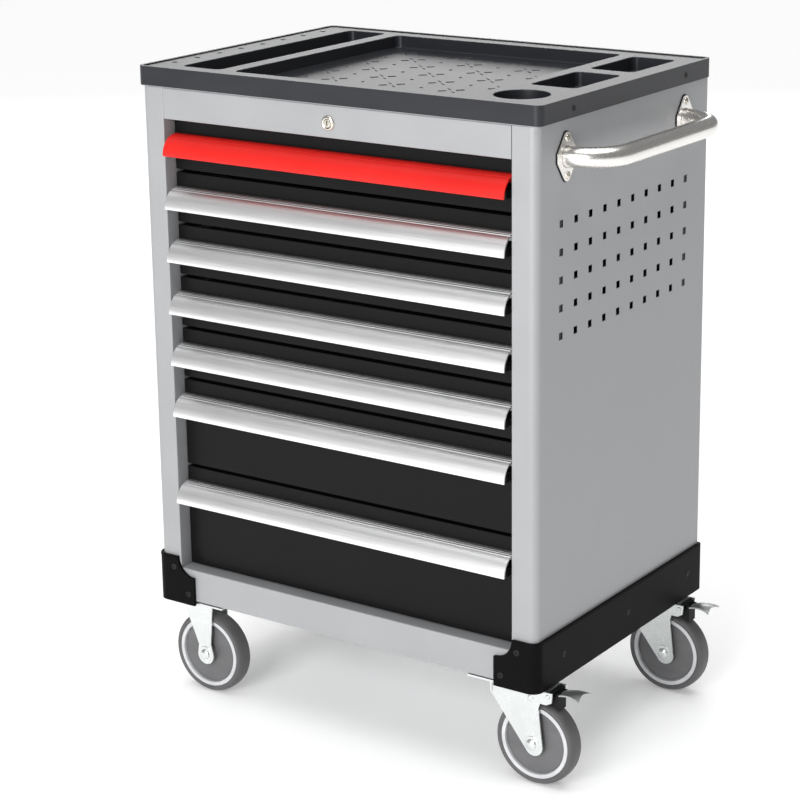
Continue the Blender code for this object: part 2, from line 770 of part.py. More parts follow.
def drawer(low, high):
    """Folded pan with a hollow front and a runner on each side."""
    floor = low + PAN_LIFT
    rim = high - PAN_HEADROOM + FRONT_GAP
    bm = bmesh.new()
    bmesh.ops.create_cube(bm, size=1.0)
    size = Vector((2 * HALF_PAN, PAN_BACK - PAN_FRONT, rim - floor))
    bmesh.ops.scale(bm, vec=size, verts=bm.verts)
    middle = Vector((0.0, (PAN_FRONT + PAN_BACK) / 2, (rim + floor) / 2))
    bmesh.ops.translate(bm, vec=middle, verts=bm.verts)
    lid = [face for face in bm.faces if face.normal.z > 0.9]
    bmesh.ops.delete(bm, geom=lid, context="FACES_ONLY")
    pan = object_of("pan", mesh_of(bm, "pan"))
    walls = pan.modifiers.new("walls", "SOLIDIFY")
    walls.thickness = SHEET
    walls.offset = -1.0
    walls.use_even_offset = True
    bpy.context.view_layer.update()
    apply_modifiers(pan)
    facing_out(pan)
    path = [
        (PAN_FRONT + SHEET / 2, high),
        (FACE_Y, high),
        (FACE_Y, low),
        (PAN_FRONT + SHEET / 2, low),
    ]
    half_front = HALF_OPENING - FRONT_SIDE_CLEARANCE
    front = folded_sheet(path, SHEET, -half_front, half_front, X_AXIS, inside=-1.0)
    inner = box(
        (-half_front, PAN_FRONT - SHEET, low + SHEET / 2),
        (half_front, PAN_FRONT + SHEET * 0.75, high - SHEET / 2),
    )
    joined(pan, front, inner)
    runner_low = floor + RUNNER_LIFT
    runner_start = PAN_FRONT + 2 * SHEET
    for side in (-1, 1):
        ends = sorted((side * (HALF_PAN - SHEET / 2), side * (HALF_PAN + RUNNER_REACH)))
        runner = box(
            (ends[0], runner_start, runner_low),
            (ends[1], PAN_BACK - RUNNER_END_SPACE, runner_low + RUNNER_HEIGHT),
        )
        joined(pan, runner)
    return pan


def pull(top):
    """Hooked extrusion: a flange on the drawer front, a short shelf and a quarter-round lip."""
    face = FACE_Y - GAP
    centre = (face - PULL_SHELF, top - PULL_RADIUS)
    inner = PULL_RADIUS - PULL_WALL
    outline = [(face, top), (face, top - PULL_FLANGE), (face - PULL_WALL, top - PULL_FLANGE)]
    outline += [(face - PULL_WALL, top - PULL_WALL)]
    outline += arc(centre, inner, 90, 180, 7)
    outline += arc(centre, PULL_RADIUS, 180, 90, 7)
    return outline_plate(outline, 2 * HALF_PULL, facing_side(0.0))


def latch(top):
    """Sliding release behind the right end of the pull's lip."""
    right = HALF_PULL - LATCH_INSET
    face = FACE_Y - 2 * GAP
    low = top - PULL_RADIUS - LATCH_SHOW
    return box(
        (right - LATCH_WIDTH, face - LATCH_DEPTH, low),
        (right, face, low + LATCH_HEIGHT),
        bevel=LATCH_CHAMFER,
        segments=1,
    )


# Central lock


def lock_barrel():
    face = -HALF_DEPTH - GAP
    bore = PLUG_RADIUS + PLUG_CLEARANCE
    profile = [
        (bore, ESCUTCHEON_THICKNESS),
        (ESCUTCHEON_RADIUS - ESCUTCHEON_CHAMFER, ESCUTCHEON_THICKNESS),
        (ESCUTCHEON_RADIUS, ESCUTCHEON_THICKNESS - ESCUTCHEON_CHAMFER),
        (ESCUTCHEON_RADIUS, 0.0),
        (BARREL_RADIUS, 0.0),
        (BARREL_RADIUS, -BARREL_LENGTH),
        (bore, -BARREL_LENGTH),
    ]
    outward = [(radius, -height) for radius, height in profile]
    return turned(outward, (0.0, face, LOCK_Z), Y_AXIS, 24)


def lock_plug():
    front = -HALF_DEPTH - GAP - ESCUTCHEON_THICKNESS
    back = -HALF_DEPTH + BARREL_LENGTH + PLUG_TAIL
    centre = (0.0, (front + back) / 2, LOCK_Z)
    plug = cylinder(centre, PLUG_RADIUS, back - front, Y_AXIS, 20)
    keyway = box(
        (-KEYWAY_WIDTH / 2, front - GAP, LOCK_Z - KEYWAY_HEIGHT / 2),
        (KEYWAY_WIDTH / 2, front + KEYWAY_DEPTH, LOCK_Z + KEYWAY_HEIGHT / 2),
    )
    return cut(plug, keyway)


def lock_rod():
    """Turning rod from the plug to a cam wheel at the back, whose pin moves the locking bar."""
    front = -HALF_DEPTH + BARREL_LENGTH + PLUG_TAIL + GAP
    middle = (0.0, (front + CAM_BACK) / 2, LOCK_Z)
    rod = cylinder(middle, ROD_RADIUS, CAM_BACK - front, Y_AXIS, 12)
    cam = cylinder((0.0, CAM_BACK - CAM_THICKNESS / 2, LOCK_Z), CAM_RADIUS, CAM_THICKNESS, Y_AXIS, 24)
    pin_length = CAM_THICKNESS + BAR_THICKNESS + 3 * GAP
    pin_start = CAM_BACK - CAM_THICKNESS / 2
    pin_centre = (CAM_PIN, pin_start + pin_length / 2, LOCK_Z + CAM_PIN)
    pin = cylinder(pin_centre, PIN_RADIUS, pin_length, Y_AXIS, 12)
    return joined(rod, cam, pin)


def locking_bar():
    """Upright bar with a tooth over the back wall of each drawer."""
    back = BAR_FRONT + BAR_THICKNESS
    left = CAM_PIN - BAR_WIDTH / 2
    right = CAM_PIN + BAR_WIDTH / 2
    rows = drawer_rows()
    last_rim = rows[-1][2] - PAN_HEADROOM + FRONT_GAP
    bar = box((left, BAR_FRONT, last_rim), (right, back, BODY_TOP - BAR_HEADROOM))
    radius = PIN_RADIUS + PIN_CLEARANCE
    slot = box(
        (CAM_PIN - radius, BAR_FRONT - GAP, LOCK_Z + CAM_PIN - radius),
        (CAM_THROW + radius, back + GAP, LOCK_Z + CAM_PIN + radius),
    )
    cut(bar, slot)
    wall_inside = PAN_BACK - SHEET
    tooth_back = wall_inside - TOOTH_CLEARANCE
    for _, _, high in rows:
        foot = high - PAN_HEADROOM + FRONT_GAP + TOOTH_CLEARANCE
        head = foot + TOOTH_LENGTH
        arm = box(
            (CAM_PIN - TOOTH_WIDTH / 2, tooth_back - TOOTH_THICKNESS, head),
            (CAM_PIN + TOOTH_WIDTH / 2, BAR_FRONT + BAR_THICKNESS / 2, head + TOOTH_ARM),
        )
        tooth = box(
            (CAM_PIN - TOOTH_WIDTH / 2, tooth_back - TOOTH_THICKNESS, foot),
            (CAM_PIN + TOOTH_WIDTH / 2, tooth_back, head + TOOTH_ARM / 2),
        )
        joined(bar, joined(arm, tooth))
    return bar


# Side handle


def handle_tube():
    start = HALF_WIDTH + 2 * GAP
    bend = HANDLE_STANDOFF - HANDLE_ENTRY
    straight = HANDLE_HALF_SPAN - bend
    centre = HALF_WIDTH + HANDLE_ENTRY
    path = [(start, -HANDLE_HALF_SPAN)]
    path += arc((centre, -straight), bend, -90, 0, 8)
    path += arc((centre, straight), bend, 0, 90, 8)
    path += [(start, HANDLE_HALF_SPAN)]
    curve = bpy.data.curves.new("handle", "CURVE")
    curve.dimensions = "3D"
    curve.bevel_depth = HANDLE_RADIUS
    curve.bevel_resolution = 4
    spline = curve.splines.new("POLY")
    spline.points.add(len(path) - 1)
    for point, (x, y) in zip(spline.points, path):
        point.co = (x, y, HANDLE_Z, 1.0)
    tube = bpy.data.objects.new("handle", curve)
    CUTTERS.objects.link(tube)
    bpy.context.view_layer.update()
    tube = welded_curve(tube, "handle")
    wall = tube.modifiers.new("wall", "SOLIDIFY")
    wall.thickness = HANDLE_WALL
    wall.offset = -1.0
    bpy.context.view_layer.update()
    return facing_out(apply_modifiers(tube))


def handle_flange(y):
    """Lozenge plate round the end of the tube, with two screws."""
    tip = FLANGE_TIP_RADIUS
    high = FLANGE_HALF_HEIGHT - tip
    wide = FLANGE_HALF_WIDTH
    side = FLANGE_SIDE / 2
    outline = [(wide, -side), (wide, side)]
    outline += arc((0.0, high), tip, 35, 145, 5)
    outline += [(-wide, side), (-wide, -side)]
    outline += arc((0.0, -high), tip, 215, 325, 5)
    placed = [(y + u, HANDLE_Z + v) for u, v in outline]
    x = HALF_WIDTH + GAP
    plate = outline_plate(placed, FLANGE_THICKNESS, facing_side(x + FLANGE_THICKNESS / 2))
    hole = cylinder((x, y, HANDLE_Z), HANDLE_RADIUS + 2 * GAP, THROUGH, X_AXIS, 24)
    cut(plate, hole)
    for offset in (-FLANGE_SCREW_OFFSET, FLANGE_SCREW_OFFSET):
        base = x + FLANGE_THICKNESS / 2
        height = FLANGE_THICKNESS / 2 + SCREW_HEAD_HEIGHT
        centre = (base + height / 2, y, HANDLE_Z + offset)
        head = cylinder(centre, SCREW_HEAD_RADIUS, height, X_AXIS, 12, SCREW_CROWN * SCREW_HEAD_RADIUS)
        joined(plate, head)
    return plate


# Casters


def wheel_core(centre):
    hub = FORK_INSIDE - HUB_END_GAP
    face = CORE_WIDTH / 2
    dish = face - CORE_DISH
    ring = CORE_RADIUS - RING_WIDTH
    half = [(AXLE_RADIUS + GAP, hub), (HUB_RADIUS, hub), (HUB_RADIUS + RING_SLOPE, dish)]
    half += [(ring - RING_SLOPE, dish), (ring, face), (CORE_RADIUS, face)]
    profile = half + [(radius, -height) for radius, height in reversed(half)]
    return turned(profile, centre, Y_AXIS, 32)


def tyre(centre):
    half = [(CORE_RADIUS + GAP, CORE_WIDTH / 2)]
    half += [(WHEEL_RADIUS - below, TYRE_WIDTH / 2 - inward) for below, inward in TYRE_SHOULDER]
    profile = half + [(radius, -height) for radius, height in reversed(half)]
    return turned(profile, centre, Y_AXIS, 40)


def axle(centre):
    reach = FORK_INSIDE + FORK_WALL + GAP
    length = 2 * (reach + AXLE_HEAD_HEIGHT)
    bolt = cylinder(centre, AXLE_RADIUS, length, Y_AXIS, 16)
    x, y, z = centre
    for side in (-1, 1):
        middle = (x, y + side * (reach + AXLE_HEAD_HEIGHT / 2), z)
        joined(bolt, cylinder(middle, AXLE_HEAD_RADIUS, AXLE_HEAD_HEIGHT, Y_AXIS, 6))
    return bolt


def fork_arm(outline, y):
    return outline_plate(outline, FORK_WALL, facing_front(y))


def caster_plate(x, y):
    return box(
        (x - CASTER_PLATE_LENGTH / 2, y - CASTER_PLATE_WIDTH / 2, PLATE_BOTTOM),
        (x + CASTER_PLATE_LENGTH / 2, y + CASTER_PLATE_WIDTH / 2, PLATE_TOP),
    )


def fixed_fork(y):
    """Mounting plate with two pressed arms that narrow to a round end at the axle."""
    x = -CASTER_X
    top = PLATE_BOTTOM + CASTER_PLATE / 2
    shoulder = PLATE_BOTTOM - FIXED_ARM_SHOULDER
    outline = [(x + FIXED_ARM_IN, top), (x - FIXED_ARM_OUT, top), (x - FIXED_ARM_OUT, shoulder)]
    outline += [(x + u, WHEEL_RADIUS + v) for u, v in FIXED_ARM_OUTER]
    outline += arc((x, WHEEL_RADIUS - FIXED_TIP_DROP), FIXED_TIP_RADIUS, 160, 380, 9)
    outline += [(x + u, WHEEL_RADIUS + v) for u, v in FIXED_ARM_INNER]
    middle = FORK_INSIDE + FORK_WALL / 2
    fork = caster_plate(x, y)
    for side in (-1, 1):
        joined(fork, fork_arm(outline, y + side * middle))
    hole = cylinder((x, y, WHEEL_RADIUS), AXLE_RADIUS + GAP, THROUGH, Y_AXIS, 16)
    return cut(fork, hole)


def swivel_plate(y):
    """Fixed half of a swivel caster: mounting plate, race and headed kingpin."""
    x = CASTER_X
    plate = caster_plate(x, y)
    race_bottom = PLATE_BOTTOM - RACE_HEIGHT
    race = cylinder(
        (x, y, PLATE_BOTTOM - RACE_HEIGHT / 2 + GAP), RACE_RADIUS, RACE_HEIGHT + 2 * GAP, Z_AXIS, 28
    )
    fork_sheet = FORK_WALL + 3 * GAP
    pin_low = race_bottom - fork_sheet - KINGPIN_HEAD_HEIGHT
    pin = cylinder((x, y, (pin_low + PLATE_BOTTOM) / 2), KINGPIN_RADIUS, PLATE_BOTTOM - pin_low, Z_AXIS, 16)
    head = cylinder(
        (x, y, pin_low + KINGPIN_HEAD_HEIGHT / 2), KINGPIN_HEAD_RADIUS, KINGPIN_HEAD_HEIGHT, Z_AXIS, 6
    )
    return joined(plate, race, pin, head)


def swivel_fork(y):
    """Turning half of a swivel caster: a crown with two arms that reach back to the axle."""
    x = CASTER_X
    top = PLATE_BOTTOM - RACE_HEIGHT - GAP
    tip = (SWIVEL_WHEEL_X + FORK_TIP_BEHIND, WHEEL_RADIUS - FORK_TIP_DROP)
    outline = [(x - CROWN_AHEAD, top), (x - CROWN_AHEAD, top - CROWN_SIDE)]
    outline += arc(tip, FORK_TIP_RADIUS, 205, 355, 7)
    outline += [(PIVOT_X + u, PIVOT_Z + v) for u, v in FORK_EAR]
    outline += [(PIVOT_X + FORK_EAR_BEHIND, top)]
    middle = FORK_INSIDE + FORK_WALL / 2
    crown = box(
        (x - CROWN_AHEAD, y - middle, top - FORK_WALL),
        (x + CROWN_BEHIND, y + middle, top),
    )
    for side in (-1, 1):
        joined(crown, fork_arm(outline, y + side * middle))
    cut(crown, cylinder((x, y, top), KINGPIN_RADIUS + GAP, THROUGH, Z_AXIS, 16))
    cut(crown, cylinder((SWIVEL_WHEEL_X, y, WHEEL_RADIUS), AXLE_RADIUS + GAP, THROUGH, Y_AXIS, 16))
    return cut(crown, cylinder((PIVOT_X, y, PIVOT_Z), PEDAL_PIN_RADIUS + GAP, THROUGH, Y_AXIS, 12))


def brake_pedal(y):
    """Rocker on a cross pin: a foot tread outside and a shoe over the tyre."""
    tread_low = PIVOT_Z + PEDAL_RISE
    tread = box(
        (PIVOT_X - PEDAL_HEEL, y - PEDAL_WIDTH / 2, tread_low),
        (PIVOT_X + PEDAL_REACH, y + PEDAL_WIDTH / 2, tread_low + PEDAL_THICKNESS),
        bevel=PEDAL_CHAMFER,
        segments=1,
    )
    pivot = (PIVOT_X, y, PIVOT_Z)
    boss = cylinder(pivot, PEDAL_BOSS_RADIUS, 2 * (FORK_INSIDE - PEDAL_PIN_PROUD), Y_AXIS, 12)
    pin_length = 2 * (FORK_INSIDE + FORK_WALL + PEDAL_PIN_PROUD)
    pin = cylinder(pivot, PEDAL_PIN_RADIUS, pin_length, Y_AXIS, 12)
    shoe = box(
        (PIVOT_X - SHOE_AHEAD, y - SHOE_WIDTH / 2, PIVOT_Z - SHOE_DROP),
        (PIVOT_X + SHOE_BEHIND, y + SHOE_WIDTH / 2, PIVOT_Z + PEDAL_PIN_PROUD),
    )
    rocker = joined(tread, boss, pin, shoe)
    wheel = (SWIVEL_WHEEL_X, y, WHEEL_RADIUS)
    hollow = cylinder(wheel, WHEEL_RADIUS + SHOE_CLEARANCE, THROUGH, Y_AXIS, 64)
    return cut(rocker, hollow)


# Assembly


def build_cabinet():
    part("left_side_panel", side_panel(-1), SILVER_PAINT)
    part("right_side_panel", side_panel(1), SILVER_PAINT)
    part("header_rail", header_rail(), SILVER_PAINT, smooth=False)
    part("bottom_rail", bottom_rail(), SILVER_PAINT, smooth=False)
    part("floor_pan", floor_pan(), SILVER_PAINT, smooth=False)
    part("back_panel", back_panel(), SILVER_PAINT, smooth=False)
    part("top_panel", top_panel(), SILVER_PAINT, smooth=False)
    part("worktop_tray", worktop_tray(), TRAY_PLASTIC)
    part("left_skirt", skirt(-1), SKIRT_PLASTIC)
    part("right_skirt", skirt(1), SKIRT_PLASTIC)
    part("left_slide_rack", slide_rack(-1), ZINC, smooth=False)
    part("right_slide_rack", slide_rack(1), ZINC, smooth=False)


def build_drawers():
    for number, (name, low, high) in enumerate(drawer_rows(), start=1):
        top = high + FRONT_GAP / 2 - PULL_DROP
        part(name, drawer(low, high), BLACK_PAINT, smooth=False)
        finish = RED_PAINT if number == 1 else ALUMINIUM
        part(name + "_pull", pull(top), finish)
        part(name + "_latch", latch(top), BLACK_PAINT, smooth=False)


def build_lock():
    axis = (0.0, -HALF_DEPTH, LOCK_Z)
    part("lock_barrel", lock_barrel(), NICKEL, axis)
    part("lock_plug", lock_plug(), NICKEL, axis)
    part("lock_rod", lock_rod(), ZINC, axis)
    part("locking_bar", locking_bar(), ZINC, smooth=False)


def build_handle():
    part("side_handle", handle_tube(), STAINLESS)
    part("front_handle_flange", handle_flange(-HANDLE_HALF_SPAN), STAINLESS)
    part("rear_handle_flange", handle_flange(HANDLE_HALF_SPAN), STAINLESS)


def build_casters():
    for end, y in (("front", -CASTER_Y), ("rear", CASTER_Y)):
        left = (-CASTER_X, y, WHEEL_RADIUS)
        name = end + "_left"
        part(name + "_fork", fixed_fork(y), ZINC)
        part(name + "_wheel", wheel_core(left), CORE_GREY, left)
        part(name + "_tyre", tyre(left), TYRE_GREY, left)
        part(name + "_axle", axle(left), ZINC, left)
        right = (SWIVEL_WHEEL_X, y, WHEEL_RADIUS)
        swivel = (CASTER_X, y, WHEEL_RADIUS)
        pivot = (PIVOT_X, y, PIVOT_Z)
        name = end + "_right"
        part(name + "_caster_plate", swivel_plate(y), ZINC, swivel)
        part(name + "_fork", swivel_fork(y), ZINC, swivel)
        part(name + "_wheel", wheel_core(right), CORE_GREY, right)
        part(name + "_tyre", tyre(right), TYRE_GREY, right)
        part(name + "_axle", axle(right), ZINC, right)
        part(name + "_brake_pedal", brake_pedal(y), ZINC, pivot)


build_cabinet()
build_drawers()
build_lock()
build_handle()
build_casters()
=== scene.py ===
"""Finished look of a rolling tool chest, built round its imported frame.

Metres, +Z up, the drawers open towards -Y. Each operator makes one group of pieces in place and
lets it ride on the body it belongs to.
"""

import json
import math

import bpy
from bpy.props import FloatProperty, FloatVectorProperty, IntProperty, PointerProperty
from mathutils import Matrix, Vector

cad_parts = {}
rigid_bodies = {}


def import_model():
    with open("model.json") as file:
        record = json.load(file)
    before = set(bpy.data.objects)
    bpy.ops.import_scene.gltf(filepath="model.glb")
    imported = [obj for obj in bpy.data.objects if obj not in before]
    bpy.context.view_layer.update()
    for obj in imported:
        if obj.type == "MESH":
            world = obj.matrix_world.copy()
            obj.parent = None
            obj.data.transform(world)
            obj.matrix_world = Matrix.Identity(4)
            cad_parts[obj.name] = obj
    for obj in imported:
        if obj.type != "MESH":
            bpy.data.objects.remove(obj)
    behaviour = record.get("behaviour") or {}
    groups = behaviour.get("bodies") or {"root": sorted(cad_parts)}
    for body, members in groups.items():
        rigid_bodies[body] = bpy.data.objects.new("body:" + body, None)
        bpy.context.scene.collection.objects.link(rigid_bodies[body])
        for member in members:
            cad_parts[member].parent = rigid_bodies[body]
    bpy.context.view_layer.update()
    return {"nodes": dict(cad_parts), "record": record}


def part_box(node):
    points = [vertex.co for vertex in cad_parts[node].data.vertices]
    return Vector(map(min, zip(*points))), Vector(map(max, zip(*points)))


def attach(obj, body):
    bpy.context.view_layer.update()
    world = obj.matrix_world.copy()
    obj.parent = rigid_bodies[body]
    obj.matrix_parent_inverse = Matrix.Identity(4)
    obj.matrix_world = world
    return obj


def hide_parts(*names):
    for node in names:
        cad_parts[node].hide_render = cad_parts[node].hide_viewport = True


bl_info = {
    "name": "Rolling tool chest",
    "version": (1, 0, 0),
    "blender": (4, 5, 0),
    "location": "3D View > Sidebar > Tool chest",
    "description": "Finishes a rolling tool chest on its packed frame",
    "category": "Object",
}

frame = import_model()
DRAWER_COUNT = sum(1 for node in frame["nodes"] if node.endswith("_pull"))

# Sheet and clearances shared by several pieces
SHEET = 0.0012
SKIN = 0.0003

# The cabinet's own planes, read from the frame
LEFT_LOW, LEFT_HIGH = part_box("left_side_panel")
RIGHT_LOW, RIGHT_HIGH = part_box("right_side_panel")
RAIL_LOW, RAIL_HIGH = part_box("header_rail")
SILL_LOW, SILL_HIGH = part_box("bottom_rail")
TRAY_LOW, TRAY_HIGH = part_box("worktop_tray")
MIDDLE_Y = (RIGHT_LOW.y + RIGHT_HIGH.y) / 2
FRONT_Y = RIGHT_LOW.y
BACK_Y = RIGHT_HIGH.y


# Selection and small edit-mode steps


def only(thing):
    bpy.ops.object.select_all(action="DESELECT")
    thing.select_set(True)
    bpy.context.view_layer.objects.active = thing
    return thing


def nothing_selected():
    bpy.ops.object.select_all(action="DESELECT")


def edit_all(thing):
    only(thing)
    bpy.ops.object.mode_set(mode="EDIT")
    bpy.ops.mesh.select_all(action="SELECT")


def leave_edit():
    bpy.ops.object.mode_set(mode="OBJECT")


def settle(thing):
    """Puts an object's place, turn and scale into its mesh."""
    only(thing)
    bpy.ops.object.transform_apply(location=True, rotation=True, scale=True)
    return thing


def facing_out(thing):
    edit_all(thing)
    bpy.ops.mesh.remove_doubles(threshold=0.00001)
    bpy.ops.mesh.normals_make_consistent(inside=False)
    leave_edit()
    return thing


def apply(thing, kind, **settings):
    """Adds a modifier, sets it and applies it."""
    only(thing)
    modifier = thing.modifiers.new(kind.lower(), kind)
    for name, value in settings.items():
        setattr(modifier, name, value)
    bpy.ops.object.modifier_apply(modifier=modifier.name)
    return thing


def bevelled(thing, width, segments=3, angle=35.0):
    return apply(
        thing,
        "BEVEL",
        width=width,
        segments=segments,
        limit_method="ANGLE",
        angle_limit=math.radians(angle),
        use_clamp_overlap=True,
    )


def smooth(thing, angle=35.0):
    only(thing)
    bpy.ops.object.shade_smooth_by_angle(angle=math.radians(angle))
    return thing


def cut(thing, cutter):
    apply(thing, "BOOLEAN", operation="DIFFERENCE", solver="EXACT", object=cutter)
    bpy.data.objects.remove(cutter)
    return thing


def merged(things):
    """Several objects made one."""
    nothing_selected()
    for thing in things:
        thing.select_set(True)
    bpy.context.view_layer.objects.active = things[0]
    bpy.ops.object.join()
    return things[0]


def finished(thing, name, body, finish, replaces=(), angle=35.0):
    """Names a piece, shades it, gives it its finish and lets it ride on its body."""
    settle(thing)
    smooth(thing, angle)
    apply(thing, "WEIGHTED_NORMAL", keep_sharp=True, weight=80)
    thing.name = name
    thing.data.name = name
    thing.data.materials.clear()
    thing.data.materials.append(finish)
    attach(thing, body)
    if replaces:
        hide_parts(*replaces)
    return thing


# Starting shapes


def block(low, high, bevel=0.0, segments=3):
    nothing_selected()
    low, high = Vector(low), Vector(high)
    bpy.ops.mesh.primitive_cube_add(size=1.0, location=(low + high) / 2)
    thing = bpy.context.object
    thing.scale = high - low
    settle(thing)
    if bevel:
        edit_all(thing)
        bpy.ops.mesh.bevel(offset=bevel, segments=segments, affect="EDGES", clamp_overlap=True)
        leave_edit()
    return thing


TURN_TO = {
    "X": Matrix.Rotation(math.radians(90), 4, "Y"),
    "Y": Matrix.Rotation(math.radians(-90), 4, "X"),
    "-Y": Matrix.Rotation(math.radians(90), 4, "X"),
    "Z": Matrix.Identity(4),
}


def turned(profile, place, axis, sides=48, closed=False):
    """A circle drawn out ring by ring along a profile of (radius, height) points."""
    nothing_selected()
    radius, height = profile[0]
    bpy.ops.mesh.primitive_circle_add(vertices=sides, radius=radius, fill_type="NOTHING")
    thing = bpy.context.object
    edit_all(thing)
    bpy.ops.transform.translate(value=(0.0, 0.0, height))
    for next_radius, next_height in profile[1:]:
        bpy.ops.mesh.extrude_edges_move(
            TRANSFORM_OT_translate={"value": (0.0, 0.0, next_height - height)}
        )
        grow = next_radius / radius
        bpy.ops.transform.resize(value=(grow, grow, 1.0), center_override=(0.0, 0.0, next_height))
        radius, height = next_radius, next_height
    leave_edit()
    open_ends(thing, closed)
    thing.data.transform(Matrix.Translation(place) @ TURN_TO[axis])
    return facing_out(thing)


def rod(radius, reach, place, axis, sides=48):
    """A plain rod through a place, for cutting round holes."""
    return turned([(radius, -reach), (radius, reach)], place, axis, sides)


def both_sides(profile):
    """A profile and its mirror image below zero."""
    return profile + [(radius, -height) for radius, height in reversed(profile)]


def bent_rod(path, radius, rounding):
    """A round rod along a path of (X, Y, Z) points, closed at its ends."""
    nothing_selected()
    bpy.ops.curve.primitive_nurbs_path_add()
    line = bpy.context.object
    line.data.splines.clear()
    spline = line.data.splines.new("POLY")
    spline.points.add(len(path) - 1)
    for point, place in zip(spline.points, path):
        point.co = (*place, 1.0)
    line.data.bevel_depth = radius
    line.data.bevel_resolution = rounding
    line.data.use_fill_caps = True
    only(line)
    bpy.ops.object.convert(target="MESH")
    return facing_out(bpy.context.object)


def open_ends(thing, closed):
    """Caps the first and last ring, or bridges them where the profile is a closed ring."""
    edit_all(thing)
    bpy.ops.mesh.select_mode(type="EDGE")
    bpy.ops.mesh.select_all(action="DESELECT")
    bpy.ops.mesh.select_non_manifold(
        extend=False, use_wire=False, use_boundary=True, use_multi_face=False,
        use_non_contiguous=False, use_verts=False,
    )
    if closed:
        bpy.ops.mesh.bridge_edge_loops()
    else:
        bpy.ops.mesh.edge_face_add()
    bpy.ops.mesh.select_mode(type="VERT")
    leave_edit()


def on_axis(axis, u, v, w):
    """A point from two flat coordinates and a height along an axis."""
    return {"Z": (u, v, w), "X": (w, u, v), "Y": (u, w, v)}[axis]


def outline_plate(points, low, high, axis="Z"):
    """A flat outline drawn out along an axis. (u, v) is (X, Y), (Y, Z) or (X, Z) for Z, X and Y."""
    nothing_selected()
    bpy.ops.mesh.primitive_circle_add(vertices=len(points), radius=1.0, fill_type="NGON")
    thing = bpy.context.object
    for vertex, (u, v) in zip(thing.data.vertices, points):
        vertex.co = on_axis(axis, u, v, low)
    along = on_axis(axis, 0, 0, 1)
    edit_all(thing)
    bpy.ops.mesh.extrude_region_move(
        TRANSFORM_OT_translate={"value": Vector(along) * (high - low)}
    )
    leave_edit()
    return facing_out(thing)


def folded(path, low, high, thickness, axis="Z"):
    """A strip folded along a path, drawn out along an axis and given a wall towards its inside."""
    nothing_selected()
    columns = len(path) - 1
    bpy.ops.mesh.primitive_grid_add(x_subdivisions=columns, y_subdivisions=1, size=1.0)
    thing = bpy.context.object
    for index, vertex in enumerate(thing.data.vertices):
        u, v = path[index % (columns + 1)]
        w = low if index <= columns else high
        vertex.co = on_axis(axis, u, v, w)
    apply(
        thing, "SOLIDIFY", thickness=abs(thickness), offset=math.copysign(1.0, thickness),
        use_even_offset=True,
    )
    return facing_out(thing)


def arc(centre, radius, first, last, steps):
    points = []
    for i in range(steps + 1):
        angle = math.radians(first + (last - first) * i / steps)
        points.append((centre[0] + radius * math.cos(angle), centre[1] + radius * math.sin(angle)))
    return points


def softened(points, radius, steps=5):
    """A path of sharp folds with each fold rounded to a radius."""
    path = [points[0]]
    for before, corner, after in zip(points, points[1:], points[2:]):
        corner = Vector(corner)
        back = (Vector(before) - corner).normalized() * radius
        ahead = (Vector(after) - corner).normalized() * radius
        for step in range(steps + 1):
            turn = step / steps * math.pi / 2
            path.append(tuple(corner + back + ahead - ahead * math.cos(turn) - back * math.sin(turn)))
    path.append(points[-1])
    return path


def rounded_rectangle(left, right, low, high, radius, steps=6):
    return (
        arc((right - radius, high - radius), radius, 0, 90, steps)
        + arc((left + radius, high - radius), radius, 90, 180, steps)
        + arc((left + radius, low + radius), radius, 180, 270, steps)
        + arc((right - radius, low + radius), radius, 270, 360, steps)
    )


def copy_of(node):
    """A merged copy of a CAD node, with its flat faces whole again."""
    source = frame["nodes"][node]
    only(source)
    bpy.ops.object.duplicate()
    thing = bpy.context.object
    for key in list(thing.keys()):
        del thing[key]
    thing.parent = None
    edit_all(thing)
    bpy.ops.mesh.remove_doubles(threshold=0.00001)
    bpy.ops.mesh.dissolve_limited(angle_limit=math.radians(0.5))
    leave_edit()
    return thing


def copy_at(source, place):
    """A copy with its own mesh, moved by a matrix."""
    made = source.copy()
    made.data = source.data.copy()
    made.data.transform(place)
    bpy.context.collection.objects.link(made)
    return made


def soften_edges(thing, chosen, width, segments=4):
    """Bevels the edges whose two ends both pass a test."""
    edit_all(thing)
    bpy.ops.mesh.select_mode(type="EDGE")
    bpy.ops.mesh.select_all(action="DESELECT")
    leave_edit()
    ends = thing.data.vertices
    for edge in thing.data.edges:
        edge.select = all(chosen(ends[i].co) for i in edge.vertices)
    bpy.ops.object.mode_set(mode="EDIT")
    bpy.ops.mesh.bevel(offset=width, segments=segments, affect="EDGES", clamp_overlap=True)
    bpy.ops.mesh.select_mode(type="VERT")
    leave_edit()
    return thing


# Shader expressions


